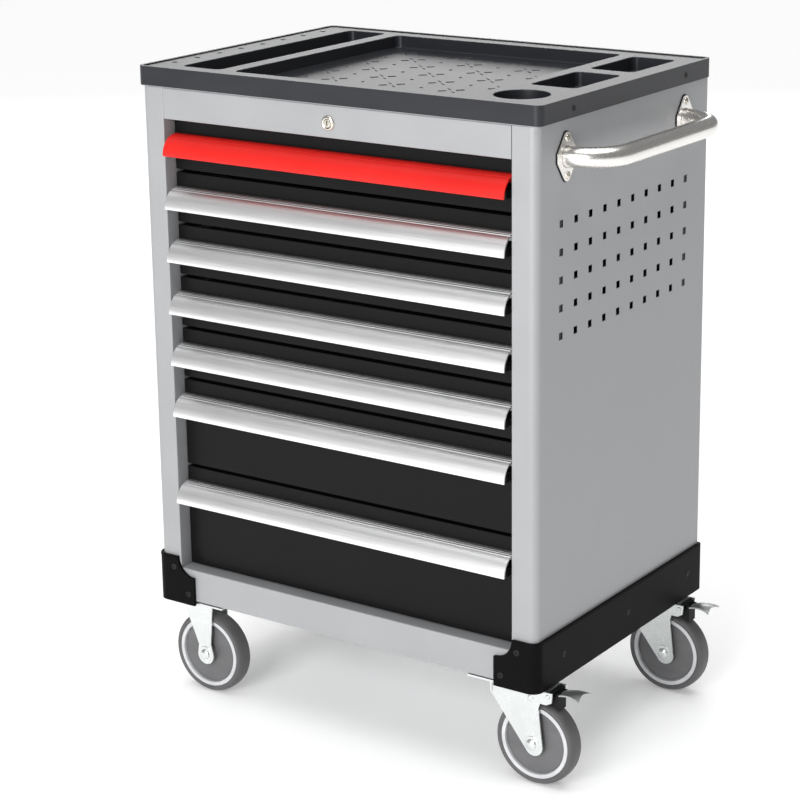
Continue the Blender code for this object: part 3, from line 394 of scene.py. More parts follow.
class Value:
    """A shader socket that adds Math nodes to its tree when it is used in an expression."""

    def __init__(self, tree, socket):
        self.tree = tree
        self.socket = socket

    def node(self, kind, settings=None, output=0, **inputs):
        """Adds any node: its settings first, then the values or links of its sockets."""
        made = self.tree.nodes.new(kind)
        for name, value in (settings or {}).items():
            setattr(made, name, value)
        for name, value in inputs.items():
            numbered = name[0] == "i" and name[1:].isdigit()
            socket = made.inputs[int(name[1:])] if numbered else made.inputs[name]
            if isinstance(value, Value):
                self.tree.links.new(value.socket, socket)
            else:
                socket.default_value = value
        return Value(self.tree, made.outputs[output])

    def maths(self, operation, first, second=0.0, third=0.0):
        return self.node(
            "ShaderNodeMath", {"operation": operation}, i0=first, i1=second, i2=third
        )

    def __add__(self, other):
        return self.maths("ADD", self, other)

    def __radd__(self, other):
        return self.maths("ADD", other, self)

    def __sub__(self, other):
        return self.maths("SUBTRACT", self, other)

    def __rsub__(self, other):
        return self.maths("SUBTRACT", other, self)

    def __mul__(self, other):
        return self.maths("MULTIPLY", self, other)

    def __rmul__(self, other):
        return self.maths("MULTIPLY", other, self)

    def clamped(self, low, high, low_out=0.0, high_out=1.0):
        """Maps low to low_out and high to high_out, and holds beyond them."""
        return self.node(
            "ShaderNodeMapRange", {"clamp": True},
            i0=self, i1=low, i2=high, i3=low_out, i4=high_out,
        )

    def noise(self, scale, detail=3.0, roughness=0.5):
        return self.node(
            "ShaderNodeTexNoise", {"noise_dimensions": "3D"},
            Vector=self, Scale=scale, Detail=detail, Roughness=roughness,
        )

    def stretched(self, scale):
        return self.node("ShaderNodeMapping", {"vector_type": "POINT"}, Vector=self, Scale=scale)

    def mixed(self, first, second):
        """A colour between two, by this value."""
        return self.node(
            "ShaderNodeMix", {"data_type": "RGBA", "blend_type": "MIX"}, output=2,
            i0=self, i6=first, i7=second,
        )

    def bumped(self, strength, distance):
        return self.node("ShaderNodeBump", Strength=strength, Distance=distance, Height=self)


def opaque(colour):
    return (*colour, 1.0)


def shaded(colour, share):
    """A colour made lighter or darker by a share."""
    return tuple(min(1.0, part * share) for part in colour)


def two_tone(value, colour, first, second, low=0.3, high=0.7):
    """A colour that goes from one share of itself to another as a value rises."""
    return value.clamped(low, high).mixed(opaque(shaded(colour, first)), opaque(shaded(colour, second)))


def start_finish(name):
    """A new material, its Principled shader and its object-space position."""
    made = bpy.data.materials.new(name)
    made.use_nodes = True
    tree = made.node_tree
    shader = tree.nodes["Principled BSDF"]
    place = Value(tree, tree.nodes.new("ShaderNodeTexCoord").outputs["Object"])
    return made, shader, place


def plug_in(place, shader, **inputs):
    for name, value in inputs.items():
        socket = shader.inputs[name.replace("_", " ")]
        if isinstance(value, Value):
            place.tree.links.new(value.socket, socket)
        else:
            socket.default_value = value


def powder_coat(name, colour, roughness, metallic=0.0, shine=0.5, grain=1400.0, depth=0.00004):
    """Sprayed and baked paint: fine orange peel, and a tone that drifts slightly over a panel."""
    made, shader, place = start_finish(name)
    peel = place.noise(grain, 2.0)
    drift = place.noise(9.0, 2.0)
    speckle = place.noise(grain * 1.7, 1.0)
    plug_in(
        place, shader,
        Base_Color=two_tone(0.6 * drift + 0.4 * speckle, colour, 0.95, 1.04, 0.35, 0.65),
        Roughness=drift.clamped(0.3, 0.7, roughness - 0.04, roughness + 0.05),
        Metallic=metallic,
        Specular_IOR_Level=shine,
        Normal=peel.bumped(0.35, depth),
    )
    return made


def moulded_plastic(name, colour, roughness, shine=0.5, grain=900.0, depth=0.00008):
    """Injection-moulded plastic: a leathery spark-eroded grain with slightly polished high spots."""
    made, shader, place = start_finish(name)
    pebble = place.noise(grain, 3.0, 0.6)
    flow = place.stretched((3.0, 3.0, 9.0)).noise(6.0, 3.0)
    plug_in(
        place, shader,
        Base_Color=two_tone(flow, colour, 0.9, 1.12),
        Roughness=pebble.clamped(0.3, 0.7, roughness + 0.06, roughness - 0.05),
        Specular_IOR_Level=shine,
        Normal=pebble.bumped(0.4, depth),
    )
    return made


def brushed_metal(name, colour, roughness, stretch, depth=0.00002, metallic=1.0):
    """Metal with fine drawn lines; stretch is small along the lines and large across them."""
    made, shader, place = start_finish(name)
    lines = place.stretched(stretch).noise(60.0, 4.0, 0.65)
    cloud = place.noise(14.0, 2.0)
    plug_in(
        place, shader,
        Base_Color=two_tone(lines, colour, 0.96, 1.03),
        Roughness=(0.7 * lines + 0.3 * cloud).clamped(0.3, 0.7, roughness - 0.03, roughness + 0.04),
        Metallic=metallic,
        Normal=lines.bumped(0.12, depth),
    )
    return made


def zinc_plate(name, colour, roughness):
    """Bright zinc plate: cloudy patches of haze, a faint bloom and a trace of pressing marks."""
    made, shader, place = start_finish(name)
    cloud = place.noise(38.0, 4.0, 0.6)
    marks = place.noise(420.0, 2.0)
    plug_in(
        place, shader,
        Base_Color=two_tone(cloud, colour, 1.0, 0.93, 0.35, 0.7),
        Roughness=cloud.clamped(0.3, 0.7, roughness - 0.03, roughness + 0.06),
        Metallic=0.9,
        Normal=marks.bumped(0.1, 0.00002),
    )
    return made


def tyre_rubber(name, colour):
    """Soft grey tyre: matt, a little dusty, with very fine grain."""
    made, shader, place = start_finish(name)
    grain = place.noise(1100.0, 3.0)
    dust = place.noise(30.0, 4.0, 0.6)
    plug_in(
        place, shader,
        Base_Color=two_tone(dust, colour, 0.88, 1.15, 0.35, 0.72),
        Roughness=dust.clamped(0.3, 0.7, 0.42, 0.6),
        Normal=grain.bumped(0.3, 0.00005),
    )
    return made


def bright_nickel(name, colour):
    """Polished nickel with hairline wear."""
    made, shader, place = start_finish(name)
    wear = place.noise(700.0, 4.0, 0.7)
    plug_in(
        place, shader,
        Base_Color=opaque(colour),
        Roughness=wear.clamped(0.4, 0.75, 0.16, 0.34),
        Metallic=1.0,
        Normal=wear.bumped(0.1, 0.00002),
    )
    return made


# Settings that a user would change


def colour_property(name, description, default):
    return FloatVectorProperty(
        name=name, description=description, default=default, subtype="COLOR", min=0.0, max=1.0
    )


def length_property(name, description, default):
    return FloatProperty(name=name, description=description, default=default, unit="LENGTH", min=0.0)


class ChestColours(bpy.types.PropertyGroup):
    cabinet: colour_property("Cabinet", "Powder coat of the cabinet", (0.36, 0.365, 0.375))
    drawer: colour_property("Drawers", "Powder coat of the drawers", (0.0048, 0.0048, 0.0050))
    worktop: colour_property("Worktop", "Moulded worktop tray", (0.017, 0.018, 0.022))
    skirt: colour_property("Skirts", "Moulded corner skirts", (0.0034, 0.0031, 0.0031))
    first_pull: colour_property("First pull", "Painted pull of the top drawer", (0.66, 0.014, 0.010))
    pull: colour_property("Pulls", "Satin aluminium of the other pulls", (0.97, 0.97, 0.98))
    handle: colour_property("Handle", "Brushed stainless steel", (0.86, 0.84, 0.81))
    zinc: colour_property("Zinc plate", "Caster forks and plates", (0.77, 0.795, 0.785))
    slides: colour_property("Slides", "Plated steel inside the cabinet", (0.55, 0.56, 0.57))
    lock: colour_property("Lock", "Nickel of the lock", (0.70, 0.66, 0.58))
    tyre: colour_property("Tyres", "Grey rubber", (0.095, 0.092, 0.095))
    disc: colour_property("Wheel discs", "Grey plastic discs", (0.13, 0.13, 0.134))
    ring: colour_property("Wheel rings", "Pale plastic rings", (0.60, 0.605, 0.62))
    # Dark steel: the brake arms' own colour, and on the slide racks a painted shade that makes the hook
    # holes look dark inside
    dark_steel_and_painted_shade: colour_property("Dark steel", "Brake arms and slide racks", (0.030, 0.031, 0.034))
    rubber: colour_property("Black parts", "Latches, brake shoes and seals", (0.008, 0.008, 0.008))


class ChestSizes(bpy.types.PropertyGroup):
    corner: length_property("Corner radius", "Rounded front corners of the cabinet", 0.012)
    fold: length_property("Fold radius", "Outside radius of a folded sheet edge", 0.0016)
    mould: length_property("Moulded edge", "Rounded edges of moulded plastic", 0.0007)
    flute: length_property("Flute depth", "Depth of the fine grooves on a pull", 0.0009)
    flutes: IntProperty(name="Flutes", description="Grooves along a pull's top", default=3, min=0, max=6)
    mark: length_property("Floor mark", "Length of a raised bar on the worktop's floor", 0.0125)
    mark_pitch: length_property("Mark pitch", "Spacing of the crosses of bars", 0.070)
    tube_sides: IntProperty(name="Tube sides", description="Facets round the handle", default=40, min=12)


class ChestOperator:
    """What every operator of the chest shares."""

    bl_options = {"REGISTER", "UNDO"}

    @property
    def sizes(self):
        return bpy.context.scene.chest_sizes

    @property
    def colours(self):
        return bpy.context.scene.chest_colours


def finish_named(name):
    found = bpy.data.materials.get(name)
    if found is None:
        raise RuntimeError(f"the finish {name} hasn't been made yet")
    return found


FINISH_OF_SLOT = {
    "cabinet_paint": "silver_coat",
    "drawer_paint": "black_coat",
    "tray_plastic": "tray_moulding",
    "skirt_plastic": "skirt_moulding",
    "pull_red": "red_coat",
    "pull_aluminium": "satin_aluminium",
    "latch_plastic": "black_moulding",
    "handle_steel": "brushed_stainless",
    "caster_zinc": "zinc_plating",
    "slide_steel": "slide_plating",
    "lock_nickel": "polished_nickel",
    "tyre_rubber": "grey_tyre",
    "wheel_plastic": "disc_moulding",
}


def finish_for(slot):
    """The finish of one of the record's material slots."""
    return finish_named(FINISH_OF_SLOT[slot])


def standing_for(node, thing, name, body, slot, angle=35.0):
    """Finishes a piece that takes a CAD node's place, in its slot's own finish."""
    return finished(thing, name, body, finish_for(slot), (node,), angle)


class CHEST_OT_finishes(ChestOperator, bpy.types.Operator):
    """Make every finish and coat the frame's own parts with them"""

    bl_idname = "chest.finishes"
    bl_label = "Finishes"

    def execute(self, context):
        c = self.colours
        powder_coat("silver_coat", c.cabinet, 0.46, 0.2)
        powder_coat("black_coat", c.drawer, 0.38, 0.0, 0.14)
        powder_coat("red_coat", c.first_pull, 0.42, 0.0, 0.35, 900.0)
        moulded_plastic("tray_moulding", c.worktop, 0.38, 0.42)
        moulded_plastic("skirt_moulding", c.skirt, 0.5, 0.06)
        moulded_plastic("black_moulding", c.rubber, 0.5, 0.25)
        moulded_plastic("disc_moulding", c.disc, 0.42)
        moulded_plastic("ring_moulding", c.ring, 0.38)
        moulded_plastic("soft_black", c.rubber, 0.62, 0.2)
        brushed_metal("satin_aluminium", c.pull, 0.40, (0.12, 9.0, 9.0))
        brushed_metal("brushed_stainless", c.handle, 0.27, (8.0, 0.15, 8.0))
        brushed_metal("slide_plating", c.slides, 0.34, (6.0, 0.2, 6.0))
        # On the slide racks this dark plating is painted shade, so the hook holes in the side panels read
        # dark
        brushed_metal("dark_plating_and_painted_shade", c.dark_steel_and_painted_shade, 0.3, (4.0, 4.0, 4.0))
        zinc_plate("zinc_plating", c.zinc, 0.27)
        zinc_plate("pedal_plating", shaded(c.zinc, 0.6), 0.34)
        bright_nickel("polished_nickel", c.lock)
        tyre_rubber("grey_tyre", c.tyre)
        slots = {part["node"]: part["material_slot"] for part in frame["record"]["subparts"]}
        for name, node in frame["nodes"].items():
            node.data.materials.clear()
            node.data.materials.append(finish_for(slots[name]))
        return {"FINISHED"}


class CHEST_OT_side_panels(ChestOperator, bpy.types.Operator):
    """Fold both side panels with their rounded posts, and pierce their hook holes"""

    bl_idname = "chest.side_panels"
    bl_label = "Side panels"

    post_return = 0.040
    rear_flange = 0.016
    hole = 0.010
    pitch = 0.038
    columns = 10
    rows = 5
    hole_drop = 0.165

    def holes(self, outer):
        """One cutter for the whole grid of hook holes."""
        reach = 4 * SHEET
        half_grid = self.pitch * (self.columns - 1) / 2
        half = self.hole / 2
        punches = []
        for column in range(self.columns):
            for row in range(self.rows):
                y = MIDDLE_Y - half_grid + column * self.pitch
                z = TRAY_HIGH.z - self.hole_drop - row * self.pitch
                low, high = (outer - reach, y - half, z - half), (outer + reach, y + half, z + half)
                punches.append(block(low, high))
        return merged(punches)

    def panel(self, side, low, high):
        outer = high.x if side > 0 else low.x
        inner = low.x if side > 0 else high.x
        radius = self.sizes.corner
        centre = (outer - side * radius, FRONT_Y + radius)
        first, last = (-90, 0) if side > 0 else (270, 180)
        start = [(inner, FRONT_Y + self.post_return), (inner, FRONT_Y), (centre[0], FRONT_Y)]
        path = softened(start, self.sizes.fold)[:-1]
        path += arc(centre, radius, first, last, 12)
        path += [(outer, BACK_Y), (outer - side * self.rear_flange, BACK_Y)]
        sheet = folded(path, low.z, high.z, -side * SHEET)
        cut(sheet, self.holes(outer))
        return bevelled(sheet, SHEET * 0.3, 2)

    def execute(self, context):
        for side, name, low, high in (
            (-1, "left_side", LEFT_LOW, LEFT_HIGH), (1, "right_side", RIGHT_LOW, RIGHT_HIGH),
        ):
            panel = self.panel(side, low, high)
            standing_for(name + "_panel", panel, name, "cabinet", "cabinet_paint")
        return {"FINISHED"}


class CHEST_OT_rails(ChestOperator, bpy.types.Operator):
    """Fold the header over the drawers and the sill under them, with soft front edges"""

    bl_idname = "chest.rails"
    bl_label = "Rails"

    sill_lip = 0.010
    lock_hole = 0.009

    def coated(self, rail, name, node):
        bevelled(rail, SHEET * 0.45, 2, 50.0)
        standing_for(node, rail, name, "cabinet", "cabinet_paint")

    def execute(self, context):
        deep = RAIL_HIGH.y
        points = [
            (deep, RAIL_LOW.z), (FRONT_Y, RAIL_LOW.z), (FRONT_Y, RAIL_HIGH.z), (deep, RAIL_HIGH.z)
        ]
        header = folded(softened(points, self.sizes.fold), RAIL_LOW.x, RAIL_HIGH.x, SHEET, "X")
        lock_low, lock_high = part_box("lock_plug")
        middle = (lock_low + lock_high) / 2
        cut(header, rod(self.lock_hole, 0.01, (middle.x, FRONT_Y, middle.z), "Y"))
        self.coated(header, "header", "header_rail")
        ledge = SILL_HIGH.y
        points = [
            (ledge, SILL_HIGH.z - self.sill_lip), (ledge, SILL_HIGH.z), (FRONT_Y, SILL_HIGH.z),
            (FRONT_Y, SILL_LOW.z), (deep, SILL_LOW.z),
        ]
        sill = folded(softened(points, self.sizes.fold), SILL_LOW.x, SILL_HIGH.x, -SHEET, "X")
        self.coated(sill, "sill", "bottom_rail")
        return {"FINISHED"}


class CHEST_OT_shell(ChestOperator, bpy.types.Operator):
    """Soften the flat panels that close the cabinet's top, back and floor"""

    bl_idname = "chest.shell"
    bl_label = "Back, top and floor"

    def execute(self, context):
        for node, name in (("back_panel", "back"), ("top_panel", "top_sheet"), ("floor_pan", "floor_sheet")):
            panel = bevelled(copy_of(node), SHEET * 0.3, 2)
            standing_for(node, panel, name, "cabinet", "cabinet_paint")
        steel = finish_named("slide_plating")
        # The slide racks take the dark plating as painted shade, darkening what shows through the hook holes
        dark = finish_named("dark_plating_and_painted_shade")
        for node, body, metal in (
            ("left_slide_rack", "cabinet", dark), ("right_slide_rack", "cabinet", dark),
            ("lock_rod", "lock", steel), ("locking_bar", "locking_bar", steel),
        ):
            piece = bevelled(copy_of(node), SHEET * 0.25, 2)
            finished(piece, node + "_finished", body, metal, (node,))
        return {"FINISHED"}


class CHEST_OT_worktop(ChestOperator, bpy.types.Operator):
    """Mould the worktop tray with its recesses, its raised rim and the marks on its floor"""

    bl_idname = "chest.worktop"
    bl_label = "Worktop tray"

    corner = 0.011
    lip_width = 0.005
    lip_height = 0.0015
    recess_depth = 0.019
    pocket_depth = 0.021
    pocket_corner = 0.009
    cup_margin = 0.072
    cup_radius = 0.0375
    hole_margin = 0.024
    hole_pitch = 0.051
    hole_count = 8
    hole_radius = 0.0045
    mark_width = 0.0034
    mark_height = 0.0008
    mark_gap = 0.0065
    mark_margin = 0.038
    mark_shift = (-0.006, 0.011, 0.0)
    dot_length = 0.0048
    soft_edge = 0.003
    soft_foot = 0.0025
    screw_z = 0.012
    screw_margins = (0.083, 0.078)
    screw = ((0.0042, 0.0), (0.0042, 0.0004), (0.0034, 0.0010), (0.0016, 0.0008), (0.0010, 0.0002))

    # Left, right, front and back of each opening. The slot's are measured from the tray's left,
    # the side pockets' from its right, and the near pocket's front and back from its neighbours.
    recess_insets = (0.150, 0.128, 0.032, 0.034)
    slot_insets = (0.055, 0.123, 0.034, 0.026)
    near_insets = (0.106, 0.035, 0.0365, 0.031)
    far_insets = (0.104, 0.035, 0.167, 0.042)

    def pockets(self):
        """(left, right, front, back) and depth of the recess, the slot and the side pockets."""
        low, high = TRAY_LOW, TRAY_HIGH
        far_front = high.y - self.far_insets[2]
        near_front = low.y + self.cup_margin + self.cup_radius + self.near_insets[2]
        left, right, front, back = self.recess_insets
        recess = (low.x + left, high.x - right, low.y + front, high.y - back)
        left, right, front, back = self.slot_insets
        slot = (low.x + left, low.x + right, low.y + front, high.y - back)
        left, right, _, back = self.near_insets
        near = (high.x - left, high.x - right, near_front, far_front - back)
        left, right, _, back = self.far_insets
        far = (high.x - left, high.x - right, far_front, high.y - back)
        return (
            (recess, self.recess_depth), (slot, self.pocket_depth),
            (near, self.pocket_depth), (far, self.pocket_depth),
        )

    def mark(self, length):
        """A low raised bar with sloping sides, lying along X over the floor's zero."""
        low = (-length / 2, -self.mark_width / 2, -SKIN)
        high = (length / 2, self.mark_width / 2, self.mark_height)
        bar = block(low, high)
        edit_all(bar)
        bpy.ops.mesh.select_all(action="DESELECT")
        leave_edit()
        for vertex in bar.data.vertices:
            vertex.select = vertex.co.z > 0
        bpy.ops.object.mode_set(mode="EDIT")
        bpy.ops.transform.resize(value=(0.85, 0.5, 1.0), center_override=(0.0, 0.0, 0.0))
        leave_edit()
        return bar

    def floor_marks(self, sides, z):
        """Crosses of four bars on a lattice at 45 degrees, with a short bar between crosses."""
        left, right, front, back = sides
        pitch = self.sizes.mark_pitch
        centre = Vector(((left + right) / 2, (front + back) / 2, z)) + Vector(self.mark_shift)
        along, across = Vector((1.0, 1.0, 0.0)).normalized(), Vector((1.0, -1.0, 0.0)).normalized()
        bar, dot = self.mark(self.sizes.mark), self.mark(self.dot_length)
        reach = self.mark_gap + self.sizes.mark / 2
        marks = []
        for i in range(-3, 4):
            for j in range(-3, 4):
                cross = centre + (along * i + across * j) * pitch
                between = cross + (along + across) * pitch / 2
                if self.inside(cross, sides, self.mark_margin):
                    for turn in (45, 135, 225, 315):
                        turned_to = Matrix.Rotation(math.radians(turn), 4, "Z")
                        spot = Matrix.Translation(cross) @ turned_to @ Matrix.Translation((reach, 0.0, 0.0))
                        marks.append(copy_at(bar, spot))
                if self.inside(between, sides, self.mark_margin / 2):
                    turned_to = Matrix.Rotation(math.radians(45), 4, "Z")
                    marks.append(copy_at(dot, Matrix.Translation(between) @ turned_to))
        bpy.data.objects.remove(bar)
        bpy.data.objects.remove(dot)
        return merged(marks)

    def inside(self, place, sides, margin):
        left, right, front, back = sides
        return left + margin < place.x < right - margin and front + margin < place.y < back - margin

    def screws(self):
        """Low dished screws in the tray's right side."""
        front, back = self.screw_margins
        made = []
        for y in (TRAY_LOW.y + front, TRAY_HIGH.y - back):
            place = (TRAY_HIGH.x - SKIN, y, TRAY_LOW.z + self.screw_z)
            made.append(turned(self.screw, place, "X", 20))
        return merged(made)

    def execute(self, context):
        plastic = finish_named("tray_moulding")
        low, high = TRAY_LOW, TRAY_HIGH
        tray = outline_plate(
            rounded_rectangle(low.x, high.x, low.y, high.y, self.corner, 8), low.z, high.z
        )
        lip = self.lip_width
        surface = high.z - self.lip_height
        above = high.z + self.pocket_depth
        inside = (low.x + lip, high.x - lip, low.y + lip, high.y - lip)
        cut(tray, outline_plate(rounded_rectangle(*inside, self.corner - lip, 8), surface, above))
        pockets = self.pockets()
        floors = set()
        for sides, depth in pockets:
            floors.add(round(surface - depth, 5))
            outline = rounded_rectangle(*sides, self.pocket_corner, 8)
            cut(tray, outline_plate(outline, surface - depth, above))
        cup = (high.x - self.cup_margin, low.y + self.cup_margin)
        cut(tray, outline_plate(arc(cup, self.cup_radius, 0, 352.5, 47), surface - self.pocket_depth, above))

        def on_rim(place):
            away = min(place.x - low.x, high.x - place.x, place.y - low.y, high.y - place.y)
            return abs(place.z - surface) < SKIN / 3 and away > 2 * lip

        def on_floor(place):
            return round(place.z, 5) in floors

        soften_edges(tray, on_rim, self.soft_edge)
        soften_edges(tray, on_floor, self.soft_foot)
        first = MIDDLE_Y - self.hole_pitch * (self.hole_count - 1) / 2
        for i in range(self.hole_count):
            place = (low.x + self.hole_margin, first + i * self.hole_pitch)
            hole = outline_plate(
                arc(place, self.hole_radius, 0, 345, 23), surface - self.pocket_depth, above
            )
            cut(tray, hole)
        bevelled(tray, self.sizes.mould, 2, 50.0)
        standing_for("worktop_tray", tray, "worktop", "cabinet", "tray_plastic", 40.0)
        marks = self.floor_marks(pockets[0][0], surface - self.recess_depth)
        finished(marks, "worktop_floor_marks", "cabinet", plastic, ())
        finished(self.screws(), "worktop_screws", "cabinet", finish_named("black_moulding"))
        return {"FINISHED"}


class CHEST_OT_skirts(ChestOperator, bpy.types.Operator):
    """Mould the black skirts round the cabinet's foot, with their beads, scallops and screws"""

    bl_idname = "chest.skirts"
    bl_label = "Skirts"

    wall = 0.0045
    wing = 0.070
    scallop = 0.0295
    bead_radius = 0.0011
    front_points = 14
    screw = ((0.0046, 0.0), (0.0046, 0.0003), (0.0036, 0.0009), (0.0015, 0.0007), (0.0010, 0.0001))
    front_screws = ((0.033, 0.017), (0.059, 0.056))
    side_screws = (0.15, 0.53, 0.91)
    side_screw_drop = 0.036

    def path(self, side, low, high, reach):
        """The skirt's outside line, grown outwards by a reach."""
        outer = (high.x if side > 0 else low.x) + side * reach
        front, back = low.y - reach, high.y + reach
        round_front = self.sizes.corner + self.wall + reach
        round_back = self.wall + reach
        wing = side * self.wing
        edge = high.x if side > 0 else low.x
        first, last = (-90, 0) if side > 0 else (270, 180)
        path = [(edge - wing, front)]
        path += arc((outer - side * round_front, front + round_front), round_front, first, last, 12)
        first, last = (0, 90) if side > 0 else (180, 90)
        path += arc((outer - side * round_back, back - round_back), round_back, first, last, 6)
        path += [(edge - wing, back)]
        return path

    def bead(self, side, low, high):
        """A thin raised line along the skirt's top edge, stopping at the scallops."""
        path = self.path(side, low, high, -self.bead_radius * 0.4)[:self.front_points]
        start, side_x = path[0], path[-1][0]
        path[0] = (start[0] + side * (self.scallop + 0.002), start[1])
        path.append((side_x, high.y - 2 * self.wall))
        z = high.z - 2.2 * self.bead_radius
        return bent_rod([(x, y, z) for x, y in path], self.bead_radius, 3)

    def screws(self, side, low, high):
        """Dished screws on the front wing and along the side."""
        edge = high.x if side > 0 else low.x
        made = []
        for inset, drop in self.front_screws:
            made.append(turned(self.screw, (edge - side * inset, low.y + SKIN, high.z - drop), "-Y", 20))
        for share in self.side_screws:
            y = low.y + share * (high.y - low.y)
            screw = turned(self.screw, (0.0, 0.0, 0.0), "X", 20)
            if side < 0:
                screw.data.transform(Matrix.Rotation(math.pi, 4, "Z"))
            screw.data.transform(Matrix.Translation((edge - side * SKIN, y, high.z - self.side_screw_drop)))
            made.append(screw)
        return merged(made)

    def execute(self, context):
        plastic = finish_named("skirt_moulding")
        for side, node, body_name in ((-1, "left_skirt", "left"), (1, "right_skirt", "right")):
            low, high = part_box(node)
            wrap = folded(self.path(side, low, high, 0.0), low.z, high.z, -side * self.wall)
            edge = high.x if side > 0 else low.x
            for y in (low.y, high.y):
                place = (edge - side * self.wing, y, high.z)
                cut(wrap, rod(self.scallop, 4 * self.wall, place, "Y"))
            bevelled(wrap, self.sizes.mould, 3)
            standing_for(node, wrap, body_name + "_foot_skirt", "cabinet", "skirt_plastic")
            bead = self.bead(side, low, high)
            finished(bead, body_name + "_skirt_bead", "cabinet", plastic, ())
            screws = self.screws(side, low, high)
            finished(screws, body_name + "_skirt_screws", "cabinet", finish_named("black_moulding"))
        return {"FINISHED"}


class CHEST_OT_drawers(ChestOperator, bpy.types.Operator):
    """Finish the drawers, with rolled edges on their fronts"""

    bl_idname = "chest.drawers"
    bl_label = "Drawers"

    front_edge = 0.0022

    def execute(self, context):
        paint = finish_named("black_coat")
        for number in range(1, DRAWER_COUNT + 1):
            node = f"drawer_{number}"
            low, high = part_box(node)
            shell = bevelled(copy_of(node), SHEET * 0.4, 2, 50.0)
            standing_for(node, shell, node + "_shell", node, "drawer_paint")
            front_low = (low.x, low.y, low.z)
            front_high = (high.x, low.y + self.front_edge, high.z)
            front = block(front_low, front_high, self.front_edge * 0.42, 3)
            front.data.transform(Matrix.Translation((0.0, -SKIN / 3, 0.0)))
            finished(front, node + "_front", node, paint, ())
        return {"FINISHED"}


class CHEST_OT_pulls(ChestOperator, bpy.types.Operator):
    """Draw the hooked pulls with their fine flutes, and the release tabs under them"""

    bl_idname = "chest.pulls"
    bl_label = "Pulls and releases"

    shelf = 0.004
    wall = 0.0022
    radius = 0.028
    flange = 0.012
    flute_pitch = 0.0042
    flute_start = 0.0030
    flute_width = 0.0012
    ridge_half = 0.0005
    ridge_margin = 0.002

    def section(self, face, top):
        """The pull's section as (Y, Z) points, from the flange out over the lip and back inside."""
        centre = (face - self.shelf, top - self.radius)
        inner = self.radius - self.wall
        points = [(face, top), (face, top - self.flange), (face - self.wall, top - self.flange)]
        points.append((face - self.wall, top - self.wall))
        points += arc(centre, inner, 90, 178, 18)
        points += arc((centre[0] - self.radius + self.wall / 2, centre[1]), self.wall / 2, 0, -180, 6)
        outer = []
        for angle in self.outer_angles():
            depth = self.flute_depth(angle)
            reach = self.radius - depth
            turn = math.radians(angle)
            outer.append((centre[0] + reach * math.cos(turn), centre[1] + reach * math.sin(turn)))
        return points + outer

    def flute_angles(self):
        step = math.degrees(self.flute_pitch / self.radius)
        first = 90 + math.degrees(self.flute_start / self.radius)
        return [first + step * i for i in range(self.sizes.flutes)]

    def outer_angles(self):
        angles = [180 - 4.0 * i for i in range(23)]
        width = math.degrees(self.flute_width / self.radius)
        for flute in self.flute_angles():
            angles += [flute - width, flute, flute + width]
        return sorted((a for a in angles if 90 <= a <= 180), reverse=True)

    def flute_depth(self, angle):
        near = min((abs(angle - flute) for flute in self.flute_angles()), default=90.0)
        return self.sizes.flute if near < 0.1 else 0.0

    def tab(self, low, high):
        """A release tab with three thumb ridges."""
        body = block(low, high, 0.0016, 3)
        ridges = [body]
        for i in range(3):
            x = low.x + (high.x - low.x) * (0.3 + 0.2 * i)
            ridge_low = (x - self.ridge_half, low.y - SKIN, low.z + self.ridge_margin)
            ridge_high = (x + self.ridge_half, low.y + 0.002, high.z - self.ridge_margin)
            ridges.append(block(ridge_low, ridge_high, 0.0003, 1))
        return merged(ridges)

    def execute(self, context):
        for number in range(1, DRAWER_COUNT + 1):
            node = f"drawer_{number}"
            low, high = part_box(node + "_pull")
            hook = outline_plate(self.section(high.y, high.z), low.x, high.x, "X")
            slot = "pull_red" if number == 1 else "pull_aluminium"
            name = node + "_hooked_pull"
            standing_for(node + "_pull", hook, name, node, slot, 30.0)
            tab = self.tab(*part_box(node + "_latch"))
            latch = node + "_latch"
            standing_for(latch, tab, node + "_release", latch, "latch_plastic")
        return {"FINISHED"}


class CHEST_OT_lock(ChestOperator, bpy.types.Operator):
    """Turn the lock's collar and plug, with a slot for the key"""

    bl_idname = "chest.lock"
    bl_label = "Lock"

    clearance = 0.0004
    face = [(0.0078, 0.0), (0.0092, 0.0004), (0.0101, 0.0014), (0.0105, 0.0030), (0.0085, 0.0031)]
    barrel = 0.0085
    key_half = (0.0009, 0.0036)

    def execute(self, context):
        low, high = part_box("lock_barrel")
        plug_low, plug_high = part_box("lock_plug")
        middle = (plug_low + plug_high) / 2
        length = high.y - low.y
        bore = (plug_high.x - plug_low.x) / 2 + self.clearance
        profile = [(bore, 0.0006), *self.face, (self.barrel, length), (bore, length)]
        collar = turned(profile, (middle.x, low.y, middle.z), "Y", 48, closed=True)
        standing_for("lock_barrel", collar, "lock_collar", "cabinet", "lock_nickel")
        radius = bore - self.clearance
        depth = plug_high.y - plug_low.y
        profile = [(radius * 0.5, 0.0), (radius * 0.92, 0.0002), (radius, 0.0008), (radius, depth)]
        plug = turned(profile, (middle.x, plug_low.y, middle.z), "Y", 40)
        wide, tall = self.key_half
        slot = block(
            (middle.x - wide, plug_low.y - 0.001, middle.z - tall),
            (middle.x + wide, plug_low.y + 0.006, middle.z + tall),
        )
        cut(plug, slot)
        standing_for("lock_plug", plug, "lock_core", "lock", "lock_nickel")
        return {"FINISHED"}


